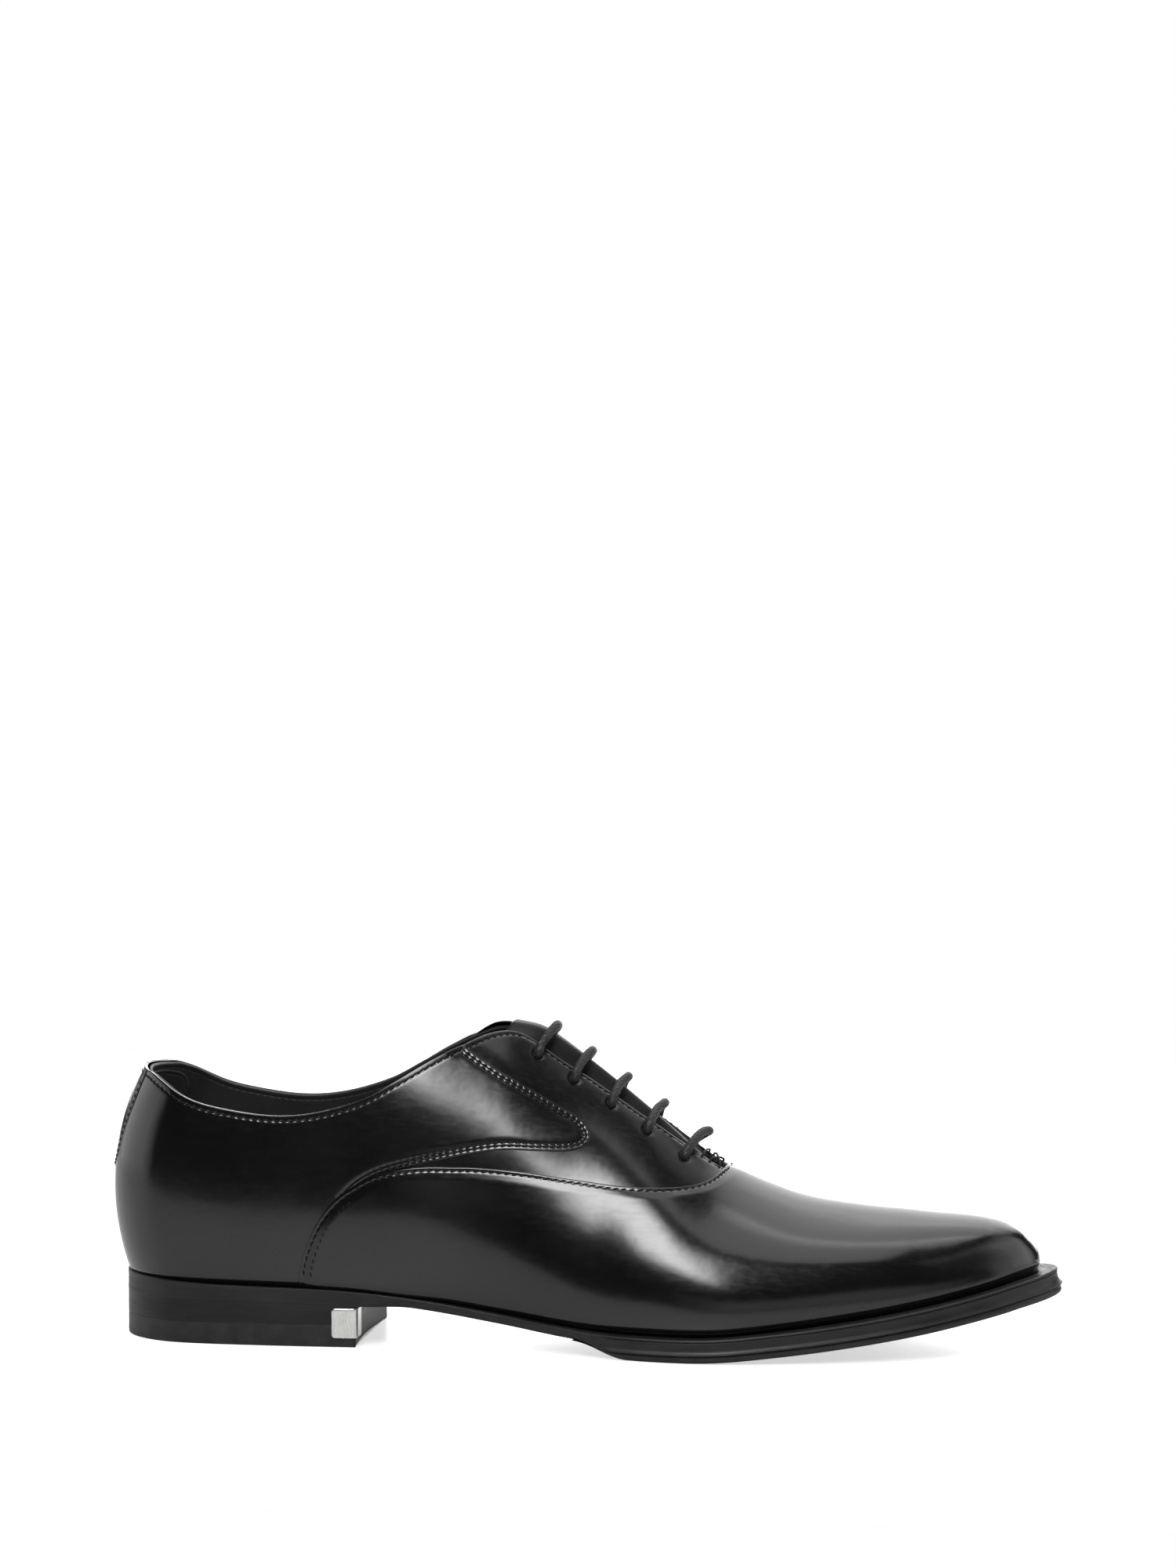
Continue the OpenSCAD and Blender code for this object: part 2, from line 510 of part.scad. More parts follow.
module insole() {
  qs = steps(0.35, QN - 0.35, 32);
  color([0.62, 0.50, 0.36])
    plate(qs, [for (q = qs) -3.9], [for (q = qs) -3.9],
          [for (q = qs) 4.0], [for (q = qs) 1.9]);
}

module sock_liner() {
  qs = steps(0.4, QN - 0.5, 28);
  color([0.11, 0.11, 0.11])
    plate(qs, [for (q = qs) -4.6], [for (q = qs) -4.6],
          [for (q = qs) 5.2], [for (q = qs) 4.3]);
}

module shank() {
  color([0.55, 0.56, 0.58])
    slab([for (i = [0:14]) let (x = mix(-104, 2, i / 14), z = seam_at(x) + 1.5) [[x, -7, z], [x, 7, z]]],
         [for (i = [0:14]) let (x = mix(-104, 2, i / 14), z = seam_at(x) + 0.4) [[x, -7, z], [x, 7, z]]]);
}

// ---- heel ----

module nail_holes() {
  for (i = [0:heel_nail_n - 1])
    translate([nail_at(i)[0], nail_at(i)[1], top_piece_t - 1])
      cylinder(d = 2.1, h = 20, $fn = 24);
}

module heel_rand() {
  color([0.10, 0.09, 0.09])
    difference() {
      heel_slice(STACK_TOP - 1.4, STACK_TOP, -0.4);
      nail_holes();
    }
}

module heel_lift_upper() {
  color([0.13, 0.11, 0.10])
    difference() {
      heel_slice((top_piece_t + STACK_TOP - 1.4) / 2 + 0.1, STACK_TOP - 1.5, 0);
      nail_holes();
    }
}

module heel_lift_lower() {
  color([0.12, 0.10, 0.10])
    difference() {
      heel_slice(top_piece_t + 0.1, (top_piece_t + STACK_TOP - 1.4) / 2, 0.1);
      nail_holes();
    }
}

module heel_top_piece() {
  color([0.08, 0.08, 0.08])
    heel_slice(0, top_piece_t, 0.2);
}

module heel_nails() {
  color([0.62, 0.60, 0.56])
    for (i = [0:heel_nail_n - 1])
      translate([nail_at(i)[0], nail_at(i)[1], top_piece_t + 0.2])
        cylinder(d = 2, h = STACK_TOP - top_piece_t - 0.3, $fn = 24);
}

module heel_corner_plate() {
  w = heel_half_w;
  color([0.78, 0.78, 0.80])
    difference() {
      translate([0, 0, 3])
        linear_extrude(height = plate_h)
          polygon([[-79.5, -w - 0.75], [-70.1, -w - 0.75], [-70.1, -w + 7], [-70.85, -w + 7],
                   [-70.85, -w - 0.1], [-79.5, -w - 0.1]]);
      for (z = [3 + plate_h * 0.25, 3 + plate_h * 0.75])
        translate([-77, -w + 2, z])
          rotate([90, 0, 0])
            cylinder(d = 1.3, h = 6, $fn = 24);
    }
}

module corner_plate_pins() {
  color([0.66, 0.66, 0.68])
    for (z = [3 + plate_h * 0.25, 3 + plate_h * 0.75])
      translate([-77, -heel_half_w - 0.05, z])
        rotate([90, 0, 0])
          cylinder(d = 1.2, h = 0.9, $fn = 24);
}

placed() vamp();
placed() vamp_lining();
placed() toe_puff();
placed() welt();
placed() midsole();
placed() outsole_forepart();
placed() cork_filler();
placed() insole();
placed() sock_liner();
placed() quarter_lateral();
placed() quarter_medial();
placed() facing_lateral();
placed() facing_medial();
placed() eyelet_stay_lateral();
placed() eyelet_stay_medial();
placed() quarter_lining_lateral();
placed() quarter_lining_medial();
placed() back_strap();
placed() heel_counter();
placed() heel_grip();
placed() shank();
placed() heel_rand();
placed() heel_lift_upper();
placed() heel_lift_lower();
placed() heel_top_piece();
placed() heel_nails();
placed() heel_corner_plate();
placed() corner_plate_pins();
placed() throat_tack();
placed() lace();
placed() lace_tips();
placed() tongue();
placed() tongue_lining();
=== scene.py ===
"""Black plain-toe oxford shoe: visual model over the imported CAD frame.

All sizes below are in millimetres; meshes are made in metres. X runs to the toe, Y to the inner
side, Z up. Side s is -1 on the outer (lateral) side and 1 on the inner (medial) side.
"""

import math

import bmesh
import bpy
import numpy as np
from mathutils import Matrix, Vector
from mathutils.geometry import delaunay_2d_cdt


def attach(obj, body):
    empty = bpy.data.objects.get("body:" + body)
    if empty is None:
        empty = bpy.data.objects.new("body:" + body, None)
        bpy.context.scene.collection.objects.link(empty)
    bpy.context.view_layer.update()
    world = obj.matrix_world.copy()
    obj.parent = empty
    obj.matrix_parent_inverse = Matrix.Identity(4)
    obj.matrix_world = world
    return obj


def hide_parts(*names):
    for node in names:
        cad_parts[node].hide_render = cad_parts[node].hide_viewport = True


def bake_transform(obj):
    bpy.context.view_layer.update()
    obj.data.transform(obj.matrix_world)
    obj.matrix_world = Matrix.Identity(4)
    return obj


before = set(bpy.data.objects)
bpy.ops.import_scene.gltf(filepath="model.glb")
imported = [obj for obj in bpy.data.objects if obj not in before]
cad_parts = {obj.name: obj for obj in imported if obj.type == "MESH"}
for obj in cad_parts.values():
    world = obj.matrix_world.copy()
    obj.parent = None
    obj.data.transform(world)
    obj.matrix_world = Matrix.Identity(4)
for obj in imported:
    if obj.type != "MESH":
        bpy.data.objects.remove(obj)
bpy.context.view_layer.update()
MM = 0.001
CENTRE_X = 2.7
QN = 17

# ---------------------------------------------------------------------------------------------
# Base surface of the shoe: the same stations as the CAD model.
# X, height of the sole seam, then for each side: foot half width, lower control (half width,
# height), upper control (half width, height), top (half width, height).
ST = np.array([
    [-149.9, 19, 0, 0, 45, 0, 88, 0, 112, 0, 0, 45, 0, 88, 0, 112],
    [-146.5, 19, 14, 17, 45, 14.5, 88, 11.5, 112, 14, 17, 45, 14.5, 88, 11.5, 112],
    [-137.2, 19, 23.5, 29, 45, 25, 88, 19.5, 112, 23.5, 29, 45, 25, 88, 19.5, 112],
    [-124.7, 19, 27.5, 34, 44, 29, 88, 22.5, 112, 27.5, 34, 44, 29, 88, 22.5, 112],
    [-100, 18.7, 29, 36.5, 42, 30, 88, 22, 112, 28, 35.5, 42, 29.5, 88, 22, 112],
    [-75, 18, 29, 37, 40, 31, 88, 20, 112, 26, 35, 42, 30, 88, 20, 112],
    [-50, 15.5, 28.5, 38.5, 38, 33, 88, 13, 111, 22, 34, 42, 31, 88, 13, 111],
    [-25, 12, 31, 41.5, 33, 29, 96, 3, 104, 20.5, 37, 42, 27, 96, 3, 104],
    [0, 8.8, 37, 47, 28, 24, 87, -1.5, 88.5, 26, 43, 38, 24, 87, 1.5, 88.5],
    [22, 7.8, 42, 52, 24, 24, 73.5, -2, 73.5, 34, 49, 33, 24, 73.5, 2, 73.5],
    [45, 8.0, 44.5, 53.5, 22, 25, 57, -2, 57, 41, 51, 28, 24, 57, 2, 57],
    [67, 10, 42.5, 50, 23.5, 26, 48.2, -1.5, 48.2, 43, 50, 26, 25, 48.2, 1.5, 48.2],
    [88, 12.7, 39, 44.5, 26.5, 24, 45, -1, 45, 41, 47, 28, 24, 45, 1, 45],
    [107, 15.8, 34, 38, 29.5, 21, 43.3, -0.5, 43.3, 36, 40, 30, 22, 43.3, 0.5, 43.3],
    [123, 19, 27, 29.5, 31.5, 17, 41, 0, 41, 29, 31.5, 31.5, 18, 41, 0, 41],
    [136, 22, 18.5, 20, 33, 11.5, 37.8, 0, 37.8, 20, 21.5, 33, 12, 37.8, 0, 37.8],
    [144, 24.5, 9.5, 10, 32, 6, 33.2, 0, 33.2, 10.3, 11, 32, 6.3, 33.2, 0, 33.2],
    [146.6, 26, 0, 0, 28, 0, 29.5, 0, 29.5, 0, 0, 28, 0, 29.5, 0, 29.5],
], float)
WIDTHS = [2, 3, 5, 7, 9, 10, 12, 14]
_before = ST[1].copy()
_before[WIDTHS] *= -1
_after = 2 * ST[QN] - ST[QN - 1]
_after[0] = ST[QN - 1][0]
_after[WIDTHS] = -ST[QN - 1][WIDTHS]
STE = np.vstack([_before, ST, _after])

# Lines on the shoe as [station, share of the way up the section].
VAMP_EDGE = [[4.40, 0.0], [4.43, 0.06], [4.47, 0.127], [4.57, 0.207], [4.71, 0.28], [4.93, 0.347],
             [5.21, 0.396], [5.44, 0.427], [5.76, 0.451], [6.1, 0.462], [6.5, 0.461], [7.0, 0.462],
             [7.5, 0.478], [8.0, 0.502], [8.5, 0.53], [8.93, 0.565], [9.25, 0.605], [9.5, 0.655],
             [9.72, 0.72], [9.88, 0.8], [9.98, 0.9], [10.02, 1.0]]
TOPLINE = [[0, 0.712], [0.5, 0.709], [1, 0.703], [1.5, 0.694], [2.5, 0.65], [3.3, 0.61],
           [4.0, 0.59], [4.6, 0.602], [5.19, 0.646], [5.64, 0.708], [6.06, 0.772], [6.47, 0.826]]
QUARTER_FRONT = [[6.47, 0.826], [6.7, 0.78], [6.96, 0.742], [7.2, 0.723], [7.4, 0.712], [7.73, 0.702],
                 [7.95, 0.697], [8.07, 0.686], [8.145, 0.668], [8.165, 0.65], [8.145, 0.63],
                 [8.07, 0.606], [7.95, 0.586], [7.78, 0.566], [7.44, 0.538], [7.1, 0.519],
                 [6.78, 0.503], [6.34, 0.486], [5.94, 0.466], [5.5, 0.43], [5.2, 0.385], [5.0, 0.33]]
FACING_TOP = [[6.2, 0.785], [6.47, 0.826], [6.76, 0.876], [6.95, 0.908], [7.1, 0.929], [7.22, 0.937],
              [7.33, 0.936]]
FACING_FRONT = [[7.33, 0.936], [7.42, 0.928], [7.55, 0.915], [7.75, 0.906], [8.04, 0.902],
                [8.4, 0.893], [8.8, 0.888], [9.12, 0.891], [9.45, 0.902], [9.75, 0.915], [10.1, 0.935]]
EYELETS = [[7.4, 0.86], [7.87, 0.838], [8.4, 0.824], [8.95, 0.812], [9.47, 0.812]]


def ease(t):
    t = np.clip(t, 0.0, 1.0)
    return t * t * (3 - 2 * t)


def spline4(a, b, c, d, t):
    return 0.5 * (2 * b + (c - a) * t + (2 * a - 5 * b + 4 * c - d) * t * t
                  + (3 * b - a - 3 * c + d) * t * t * t)


def station(q):
    q = np.asarray(q, float)
    i = np.clip(np.floor(q).astype(int), 0, QN - 1)
    t = (q - i)[..., None]
    return spline4(STE[i], STE[i + 1], STE[i + 2], STE[i + 3], t)


def lean(x):
    return 4 * ease((x - 30) / 117)


def base(q, v, s):
    """Points of the base surface, in mm."""
    q, v, s = np.broadcast_arrays(np.asarray(q, float), np.asarray(v, float), np.asarray(s, float))
    k = station(q)
    k = np.where((s < 0)[..., None], k[..., :9], np.concatenate([k[..., :2], k[..., 9:]], -1))
    w = 1 - v
    a, b, c, d = w ** 3, 3 * v * w * w, 3 * v * v * w, v ** 3
    y = a * k[..., 2] + b * k[..., 3] + c * k[..., 5] + d * k[..., 7]
    z = a * k[..., 1] + b * k[..., 4] + c * k[..., 6] + d * k[..., 8]
    x = k[..., 0] + (1 - ease((k[..., 0] + 150) / 60)) * (-5.1 + 0.0065 * (z - 48) ** 2)
    return np.stack([x + CENTRE_X, s * y + lean(x), z], -1)


def unit(v):
    return v / np.maximum(np.linalg.norm(v, axis=-1, keepdims=True), 1e-12)


def tangents(q, v, s, f=None):
    f = f or base
    tq = (f(q + 0.02, v, s) - f(q - 0.02, v, s)) / 0.04
    tv = (f(q, v + 0.01, s) - f(q, v - 0.01, s)) / 0.02
    return tq, tv


def outward(q, v, s, f=None):
    tq, tv = tangents(q, v, s, f)
    n = np.cross(tq, tv)
    return unit(np.where((np.asarray(s) < 0)[..., None], n, -n))


def ripples(p, amount, length, seed):
    """Soft unevenness of leather pulled over a last: a smooth function of place."""
    r = np.random.RandomState(seed)
    out = np.zeros(p.shape[:-1])
    for _ in range(7):
        k = r.normal(size=3)
        k *= 2 * math.pi / (length * r.uniform(0.7, 1.6)) / np.linalg.norm(k)
        out += np.sin(p @ k + r.uniform(0, 6.28))
    return amount * out / 2.6


def skin(q, v, s, h):
    q = np.asarray(q, float)
    v = np.asarray(v, float)
    return base(q, v, s) + np.asarray(h)[..., None] * outward(q, v, s)


def curve(pts, n=30):
    """Smooth line through given points, n samples a span."""
    p = np.array(pts, float)
    e = np.vstack([2 * p[0] - p[1], p, 2 * p[-1] - p[-2]])
    out = []
    for i in range(len(p) - 1):
        t = (np.arange(n) / n)[:, None]
        out.append(spline4(e[i], e[i + 1], e[i + 2], e[i + 3], t))
    out.append(p[-1:])
    return np.vstack(out)


def evenly(qv, s, step):
    """The same line with its points step apart on the shoe; returns points, place along, 3-D."""
    p = base(qv[:, 0], qv[:, 1], s)
    d = np.concatenate([[0], np.cumsum(np.linalg.norm(np.diff(p, axis=0), axis=1))])
    n = max(2, int(round(d[-1] / step)))
    t = np.linspace(0, d[-1], n + 1)
    out = np.stack([np.interp(t, d, qv[:, 0]), np.interp(t, d, qv[:, 1])], -1)
    return out, t, base(out[:, 0], out[:, 1], s)


_qs = np.linspace(0, QN, 1701)
_pp = base(_qs, 0.5, -1)
_arc = np.concatenate([[0], np.cumsum(np.linalg.norm(np.diff(_pp, axis=0), axis=1))])


def flat(qv):
    """Station and share to roughly true distances, for triangulation only."""
    return np.stack([np.interp(qv[:, 0], _qs, _arc), qv[:, 1] * 75.0], -1)


def to_lines(p, lines):
    """Distance of each point to the nearest of several 3-D lines, and which line and where."""
    best = np.full(len(p), 1e9)
    where = np.zeros(len(p))
    which = np.zeros(len(p), int)
    for k, (line, arc) in enumerate(lines):
        a, ab = line[:-1], np.diff(line, axis=0)
        ll = np.maximum((ab ** 2).sum(1), 1e-12)
        for c0 in range(0, len(p), 3000):
            pc = p[c0:c0 + 3000]
            near = ((pc[:, None, :] - line[None, :, :]) ** 2).sum(-1).argmin(1)
            for off in (-1, 0):
                i = np.clip(near + off, 0, len(a) - 1)
                t = np.clip(((pc - a[i]) * ab[i]).sum(1) / ll[i], 0, 1)
                d = np.linalg.norm(a[i] + t[:, None] * ab[i] - pc, axis=1)
                better = d < best[c0:c0 + 3000] - 1e-9
                idx = np.where(better)[0] + c0
                best[idx] = d[better]
                where[idx] = (arc[i] + t * (arc[i + 1] - arc[i]))[better]
                which[idx] = k
    return best, where, which


def inside(pt, poly):
    x, y = pt[:, 0], pt[:, 1]
    res = np.zeros(len(pt), bool)
    j = len(poly) - 1
    for i in range(len(poly)):
        xi, yi, xj, yj = poly[i, 0], poly[i, 1], poly[j, 0], poly[j, 1]
        if yi != yj:
            res ^= ((yi > y) != (yj > y)) & (x < (xj - xi) * (y - yi) / (yj - yi) + xi)
        j = i
    return res


def vertex_normals(co, tris):
    n = np.zeros_like(co)
    f = np.cross(co[tris[:, 1]] - co[tris[:, 0]], co[tris[:, 2]] - co[tris[:, 0]])
    for k in range(3):
        np.add.at(n, tris[:, k], f)
    return unit(n)


def area_normals(co, faces):
    """Vertex normals weighted by face area, so that wide faces stay true beside small bevels."""
    n = np.zeros_like(co)
    for k in (3, 4):
        f = np.array([g for g in faces if len(g) == k], int)
        if len(f):
            d1 = co[f[:, 2]] - co[f[:, 0]]
            d2 = co[f[:, 3]] - co[f[:, 1]] if k == 4 else co[f[:, 1]] - co[f[:, 0]]
            c = np.cross(d1, d2) if k == 4 else np.cross(d2, d1)
            for j in range(k):
                np.add.at(n, f[:, j], c)
    return unit(n)


def mesh_object(name, co, faces, material, normals=None, smooth=True):
    me = bpy.data.meshes.new(name)
    me.from_pydata((np.asarray(co) * MM).tolist(), [], [tuple(int(i) for i in f) for f in faces])
    me.validate()
    me.polygons.foreach_set("use_smooth", [smooth] * len(me.polygons))
    me.materials.append(material)
    if normals is not None and len(me.vertices) == len(normals):
        per_loop = [None] * len(me.loops)
        for poly in me.polygons:
            for i in poly.loop_indices:
                flat_cap = poly.loop_total > 4
                per_loop[i] = tuple(poly.normal) if flat_cap else tuple(normals[me.loops[i].vertex_index])
        me.normals_split_custom_set(per_loop)
    ob = bpy.data.objects.new(name, me)
    bpy.context.collection.objects.link(ob)
    return ob


# ---------------------------------------------------------------------------------------------
# Leather panels

RINGS = [0.05, 0.14, 0.28, 0.45, 0.65, 0.85, 1.05, 1.25, 1.45, 1.65, 1.9, 2.15, 2.4, 2.7, 3.1, 3.7, 4.6]


class Edge:
    """One side of a panel's outline. kind: cut, fold, weld or hidden. rows: (distance, pitch)."""

    def __init__(self, qv, kind, rows=(), given=False):
        self.qv, self.kind, self.rows, self.given = np.asarray(qv, float), kind, rows, given


def profile(d, t, r):
    """Height of a panel of thickness t at distance d from its rounded edge."""
    x = np.clip(r - d, 0, r)
    return t - r + np.sqrt(np.maximum(r * r - x * x, 0))


def groove(d, along, rows):
    """Depth of the sewn channel: pulled in along each row and deeper at every needle hole."""
    out = np.zeros_like(d)
    for dist, pitch in rows:
        beat = 0.5 + 0.5 * np.cos(2 * math.pi * along / pitch)
        out += (0.05 + 0.20 * beat ** 3) * np.exp(-((d - dist) / 0.26) ** 2)
        out += 0.03 * np.exp(-((d - dist) / 0.7) ** 2)
    return out


def skived(d, depth, width=7.0):
    """How much thinner the leather is at distance d from a pared edge."""
    return depth * (1 - ease(d / width))


def foot_band(q):
    """Share of the section taken by the lowest three millimetres of the upper."""
    k = station(q)
    return FOOT_HEIGHT / (3 * (k[..., 4] - k[..., 1]))


def tucked(t):
    """How far the upper has turned in under itself, t of the way up its foot."""
    return np.clip(1 - t, 0, 1) ** TUCK_POWER


def panel_half(s, edges, top, t, r, step, sign=1, holes=(), detail=None, skive=0.0, denser=None):
    """One side of a leather panel: positions, triangles, normals, plus the rim below its edges."""
    loop, tags, lines, rows, cuts, grid_extra = [], [], [], [], [], []
    ring_step = 0.55
    for e in edges:
        if e.given:
            qv = e.qv
            p = base(qv[:, 0], qv[:, 1], s)
            arc = np.concatenate([[0], np.cumsum(np.linalg.norm(np.diff(p, axis=0), axis=1))])
        else:
            qv, arc, p = evenly(e.qv, s, ring_step if e.kind in ("cut", "fold") else step)
        start = len(loop)
        loop.extend(qv[:-1].tolist())
        tags.extend([e.kind] * (len(qv) - 1))
        if e.kind == "foot":
            for f in (0.3, 0.62, 0.86, 1.0, 1.16, 1.45):
                grid_extra.append(np.column_stack([qv[1:-1, 0], f * foot_band(qv[1:-1, 0])]))
        if e.kind == "cut":
            cuts.append((p, arc))
        if e.kind in ("cut", "fold"):
            lines.append((p, arc))
            rows.append((e.rows, start, len(qv)))
    loop = np.array(loop)
    n0 = len(loop)
    area = 0.5 * np.sum(loop[:, 0] * np.roll(loop[:, 1], -1) - np.roll(loop[:, 0], -1) * loop[:, 1])
    turn = (1 if area > 0 else -1) * (-1 if s > 0 else 1)
    extra = []
    for (p, arc), (rw, start, n) in zip(lines, rows):
        idx = (np.arange(n) + start) % n0
        qv = loop[idx]
        # the last point of this edge is the first of the next one
        tq, tv = tangents(qv[:, 0], qv[:, 1], s)
        nn = outward(qv[:, 0], qv[:, 1], s)
        tang = unit(np.gradient(p, axis=0))
        inw = turn * np.cross(nn, tang)
        g11, g12, g22 = (tq * tq).sum(1), (tq * tv).sum(1), (tv * tv).sum(1)
        b1, b2 = (inw * tq).sum(1), (inw * tv).sum(1)
        det = g11 * g22 - g12 * g12
        dq, dv = (b1 * g22 - b2 * g12) / det, (b2 * g11 - b1 * g12) / det
        dmax = max([d for d, _ in rw], default=0.9) + 1.0
        for d in [x for x in RINGS if x <= dmax or x > 2.6]:
            cand = qv + d * np.stack([dq, dv], -1)
            extra.append(np.column_stack([cand, np.full(n, d)]))
    ring = np.vstack(extra) if extra else np.zeros((0, 3))
    ring = ring[(ring[:, 0] >= 0) & (ring[:, 0] <= QN) & (ring[:, 1] >= 0) & (ring[:, 1] <= 1)]
    fl = flat(loop)
    ring = ring[inside(flat(ring[:, :2]), fl)]
    if lines:
        d, _, _ = to_lines(base(ring[:, 0], ring[:, 1], s), lines)
        ring = ring[d > 0.93 * ring[:, 2]]
    grid = []
    q0, q1 = loop[:, 0].min(), loop[:, 0].max()
    for qa in np.interp(np.arange(np.interp(q0, _qs, _arc), np.interp(q1, _qs, _arc), step), _arc, _qs):
        pl = base(qa, np.linspace(0, 1, 12), s)
        length = np.linalg.norm(np.diff(pl, axis=0), axis=1).sum()
        m = max(4, int(length / step))
        grid.append(np.column_stack([np.full(m - 1, qa), (np.arange(1, m) + 0.0) / m]))
    grid = np.vstack(grid)
    if denser is not None:
        grid = np.vstack([grid[grid[:, 0] < denser[:, 0].min() - 0.04], denser])
    if grid_extra:
        grid = np.vstack([grid[grid[:, 1] > 1.7 * foot_band(grid[:, 0])]] + grid_extra)
    grid = grid[inside(flat(grid), fl)]
    d, _, _ = to_lines(base(grid[:, 0], grid[:, 1], s), lines) if lines else (np.full(len(grid), 99.0), 0, 0)
    grid = grid[d > RINGS[-1] + step * 0.55]
    # keep clear of the other outline points
    fg = flat(grid)
    keep = np.ones(len(grid), bool)
    for c0 in range(0, len(grid), 2000):
        dd = ((fg[c0:c0 + 2000, None, :] - fl[None, :, :]) ** 2).sum(-1).min(1)
        low = grid[c0:c0 + 2000, 1] < 1.6 * foot_band(grid[c0:c0 + 2000, 0])
        near = np.where(low, 0.3, 0.45 * step)
        keep[c0:c0 + 2000] = dd > near ** 2
    grid = grid[keep]
    hole_pts, hole_lines = [], []
    for (hq, hv, hr) in holes:
        c = base(hq, hv, s)
        tq, tv = tangents(np.array([hq]), np.array([hv]), s)
        g = np.array([[(tq * tq).sum(), (tq * tv).sum()], [(tq * tv).sum(), (tv * tv).sum()]])
        e1 = unit(tq)[0]
        nn = outward(np.array([hq]), np.array([hv]), s)[0]
        e2 = np.cross(nn, e1)
        na = 36
        for rr in (hr, hr + 0.1, hr + 0.3, hr + 0.6, hr + 1.1):
            a = np.linspace(0, 2 * math.pi, na, endpoint=False)
            w = rr * (np.cos(a)[:, None] * e1 + np.sin(a)[:, None] * e2)
            rhs = np.stack([w @ tq[0], w @ tv[0]], -1)
            sol = np.linalg.solve(g, rhs.T).T
            hole_pts.append(sol + [hq, hv])
            if rr == hr:
                hp = sol + [hq, hv]
                hole_lines.append((hp, c))
        far = np.linalg.norm(base(grid[:, 0], grid[:, 1], s) - c, axis=1) > hr + 1.6
        grid = grid[far]
        far = np.linalg.norm(base(ring[:, 0], ring[:, 1], s) - c, axis=1) > hr + 1.4
        ring = ring[far]
    pts = np.vstack([loop, ring[:, :2], grid] + hole_pts)
    uv = flat(pts)
    rim_edges = [(i, (i + 1) % n0) for i in range(n0)]
    res = delaunay_2d_cdt([Vector(u) for u in uv], rim_edges, [], 0, 1e-6, True)
    src = np.array([o[0] if o else -1 for o in res[3]])
    tris = np.array([f for f in res[2]], int)
    tris = src[tris]
    tris = tris[(tris >= 0).all(1)]
    tris = tris[inside(uv[tris].mean(1), fl)]
    for (hq, hv, hr) in holes:
        c = base(hq, hv, s)
        cen = base(*pts[tris].mean(1).T, s)
        tris = tris[np.linalg.norm(cen - c, axis=1) > hr * 0.97]
    ends = np.zeros(len(pts))
    if lines:
        d, along, which = to_lines(base(pts[:, 0], pts[:, 1], s), lines)
    else:
        d = np.full(len(pts), 99.0)
        along, which = ends, ends.astype(int)
    edge_t = t
    if skive and cuts:
        edge_t = t - skived(to_lines(base(pts[:, 0], pts[:, 1], s), cuts)[0], skive)
    h = profile(d, edge_t, r)
    for k, (rw, _, _) in enumerate(rows):
        m = which == k
        h[m] -= groove(d[m], along[m], rw)
    for (hq, hv, hr) in holes:
        c = base(hq, hv, s)
        hd = np.maximum(np.linalg.norm(base(pts[:, 0], pts[:, 1], s) - c, axis=1) - hr, 0)
        x = np.clip(0.35 - hd, 0, 0.35)
        h -= np.where(hd < 0.35, 0.35 - np.sqrt(np.maximum(0.35 ** 2 - x * x, 0)), 0)
        h -= 0.16 * np.exp(-(hd / 1.2) ** 2)

    def surface(q, v, ss):
        b = base(q, v, ss)
        extra_h = top(q, v) + (detail(q, v, ss, b) if detail else 0)
        return b + extra_h[..., None] * outward(q, v, ss)

    smooth_p = surface(pts[:, 0], pts[:, 1], s)
    n_an = outward(pts[:, 0], pts[:, 1], s, surface)
    co = smooth_p + (sign * h)[:, None] * n_an
    if s * sign > 0:
        tris = tris[:, ::-1]
    n_me = vertex_normals(co, tris)
    w = ease((d - 3.0) / 1.6)
    for (hq, hv, hr) in holes:
        hd = np.linalg.norm(base(pts[:, 0], pts[:, 1], s) - base(hq, hv, s), axis=1) - hr
        w = np.minimum(w, ease((hd - 2.2) / 1.5))
    nrm = unit(n_me * (1 - w)[:, None] + sign * n_an * w[:, None])
    # rim: two more rows below each free edge
    faces = [tuple(t) for t in tris]
    cos, nrms = [co], [nrm]
    count = len(co)

    def rim(ids, closed):
        nonlocal count
        ids = np.array(ids)
        low = smooth_p[ids] + (sign * -0.1) * n_an[ids]
        top_row = co[ids]
        mid = top_row * 0.45 + low * 0.55
        tang = unit(np.gradient(top_row, axis=0))
        out = np.cross(tang, n_an[ids])
        ref = co[ids] - nearest_inner(ids)
        sg = np.sign((out * ref).sum(1, keepdims=True))
        out = out * sg
        a = count
        cos.append(np.vstack([top_row, mid + 0.05 * out, low]))
        nrms.append(np.vstack([nrm[ids] * 0.3 + out * 0.7, out, out]))
        m = len(ids)
        count += 3 * m
        flip = ((np.cross(tang, -n_an[ids] * sign) * out).sum(1).mean() < 0)
        for k in range(m - 1 + (1 if closed else 0)):
            k2 = (k + 1) % m
            for row in (0, 1):
                f = (a + row * m + k, a + row * m + k2, a + (row + 1) * m + k2, a + (row + 1) * m + k)
                faces.append(f[::-1] if flip else f)

    nb = {}

    def nearest_inner(ids):
        if not nb:
            acc = np.zeros_like(co)
            cnt = np.zeros(len(co))
            for k in range(3):
                for j in range(3):
                    if k != j:
                        np.add.at(acc, tris[:, k], co[tris[:, j]])
                        np.add.at(cnt, tris[:, k], 1)
            nb["m"] = acc / np.maximum(cnt, 1)[:, None]
        return nb["m"][ids]

    for (rw, start, n) in rows:
        rim([(start + k) % n0 for k in range(n)], False)
    off = n0 + len(ring) + len(grid)
    for k in range(len(holes)):
        rim(list(range(off + k * 5 * 36, off + k * 5 * 36 + 36)), True)
    return np.vstack(cos), faces, unit(np.vstack(nrms))


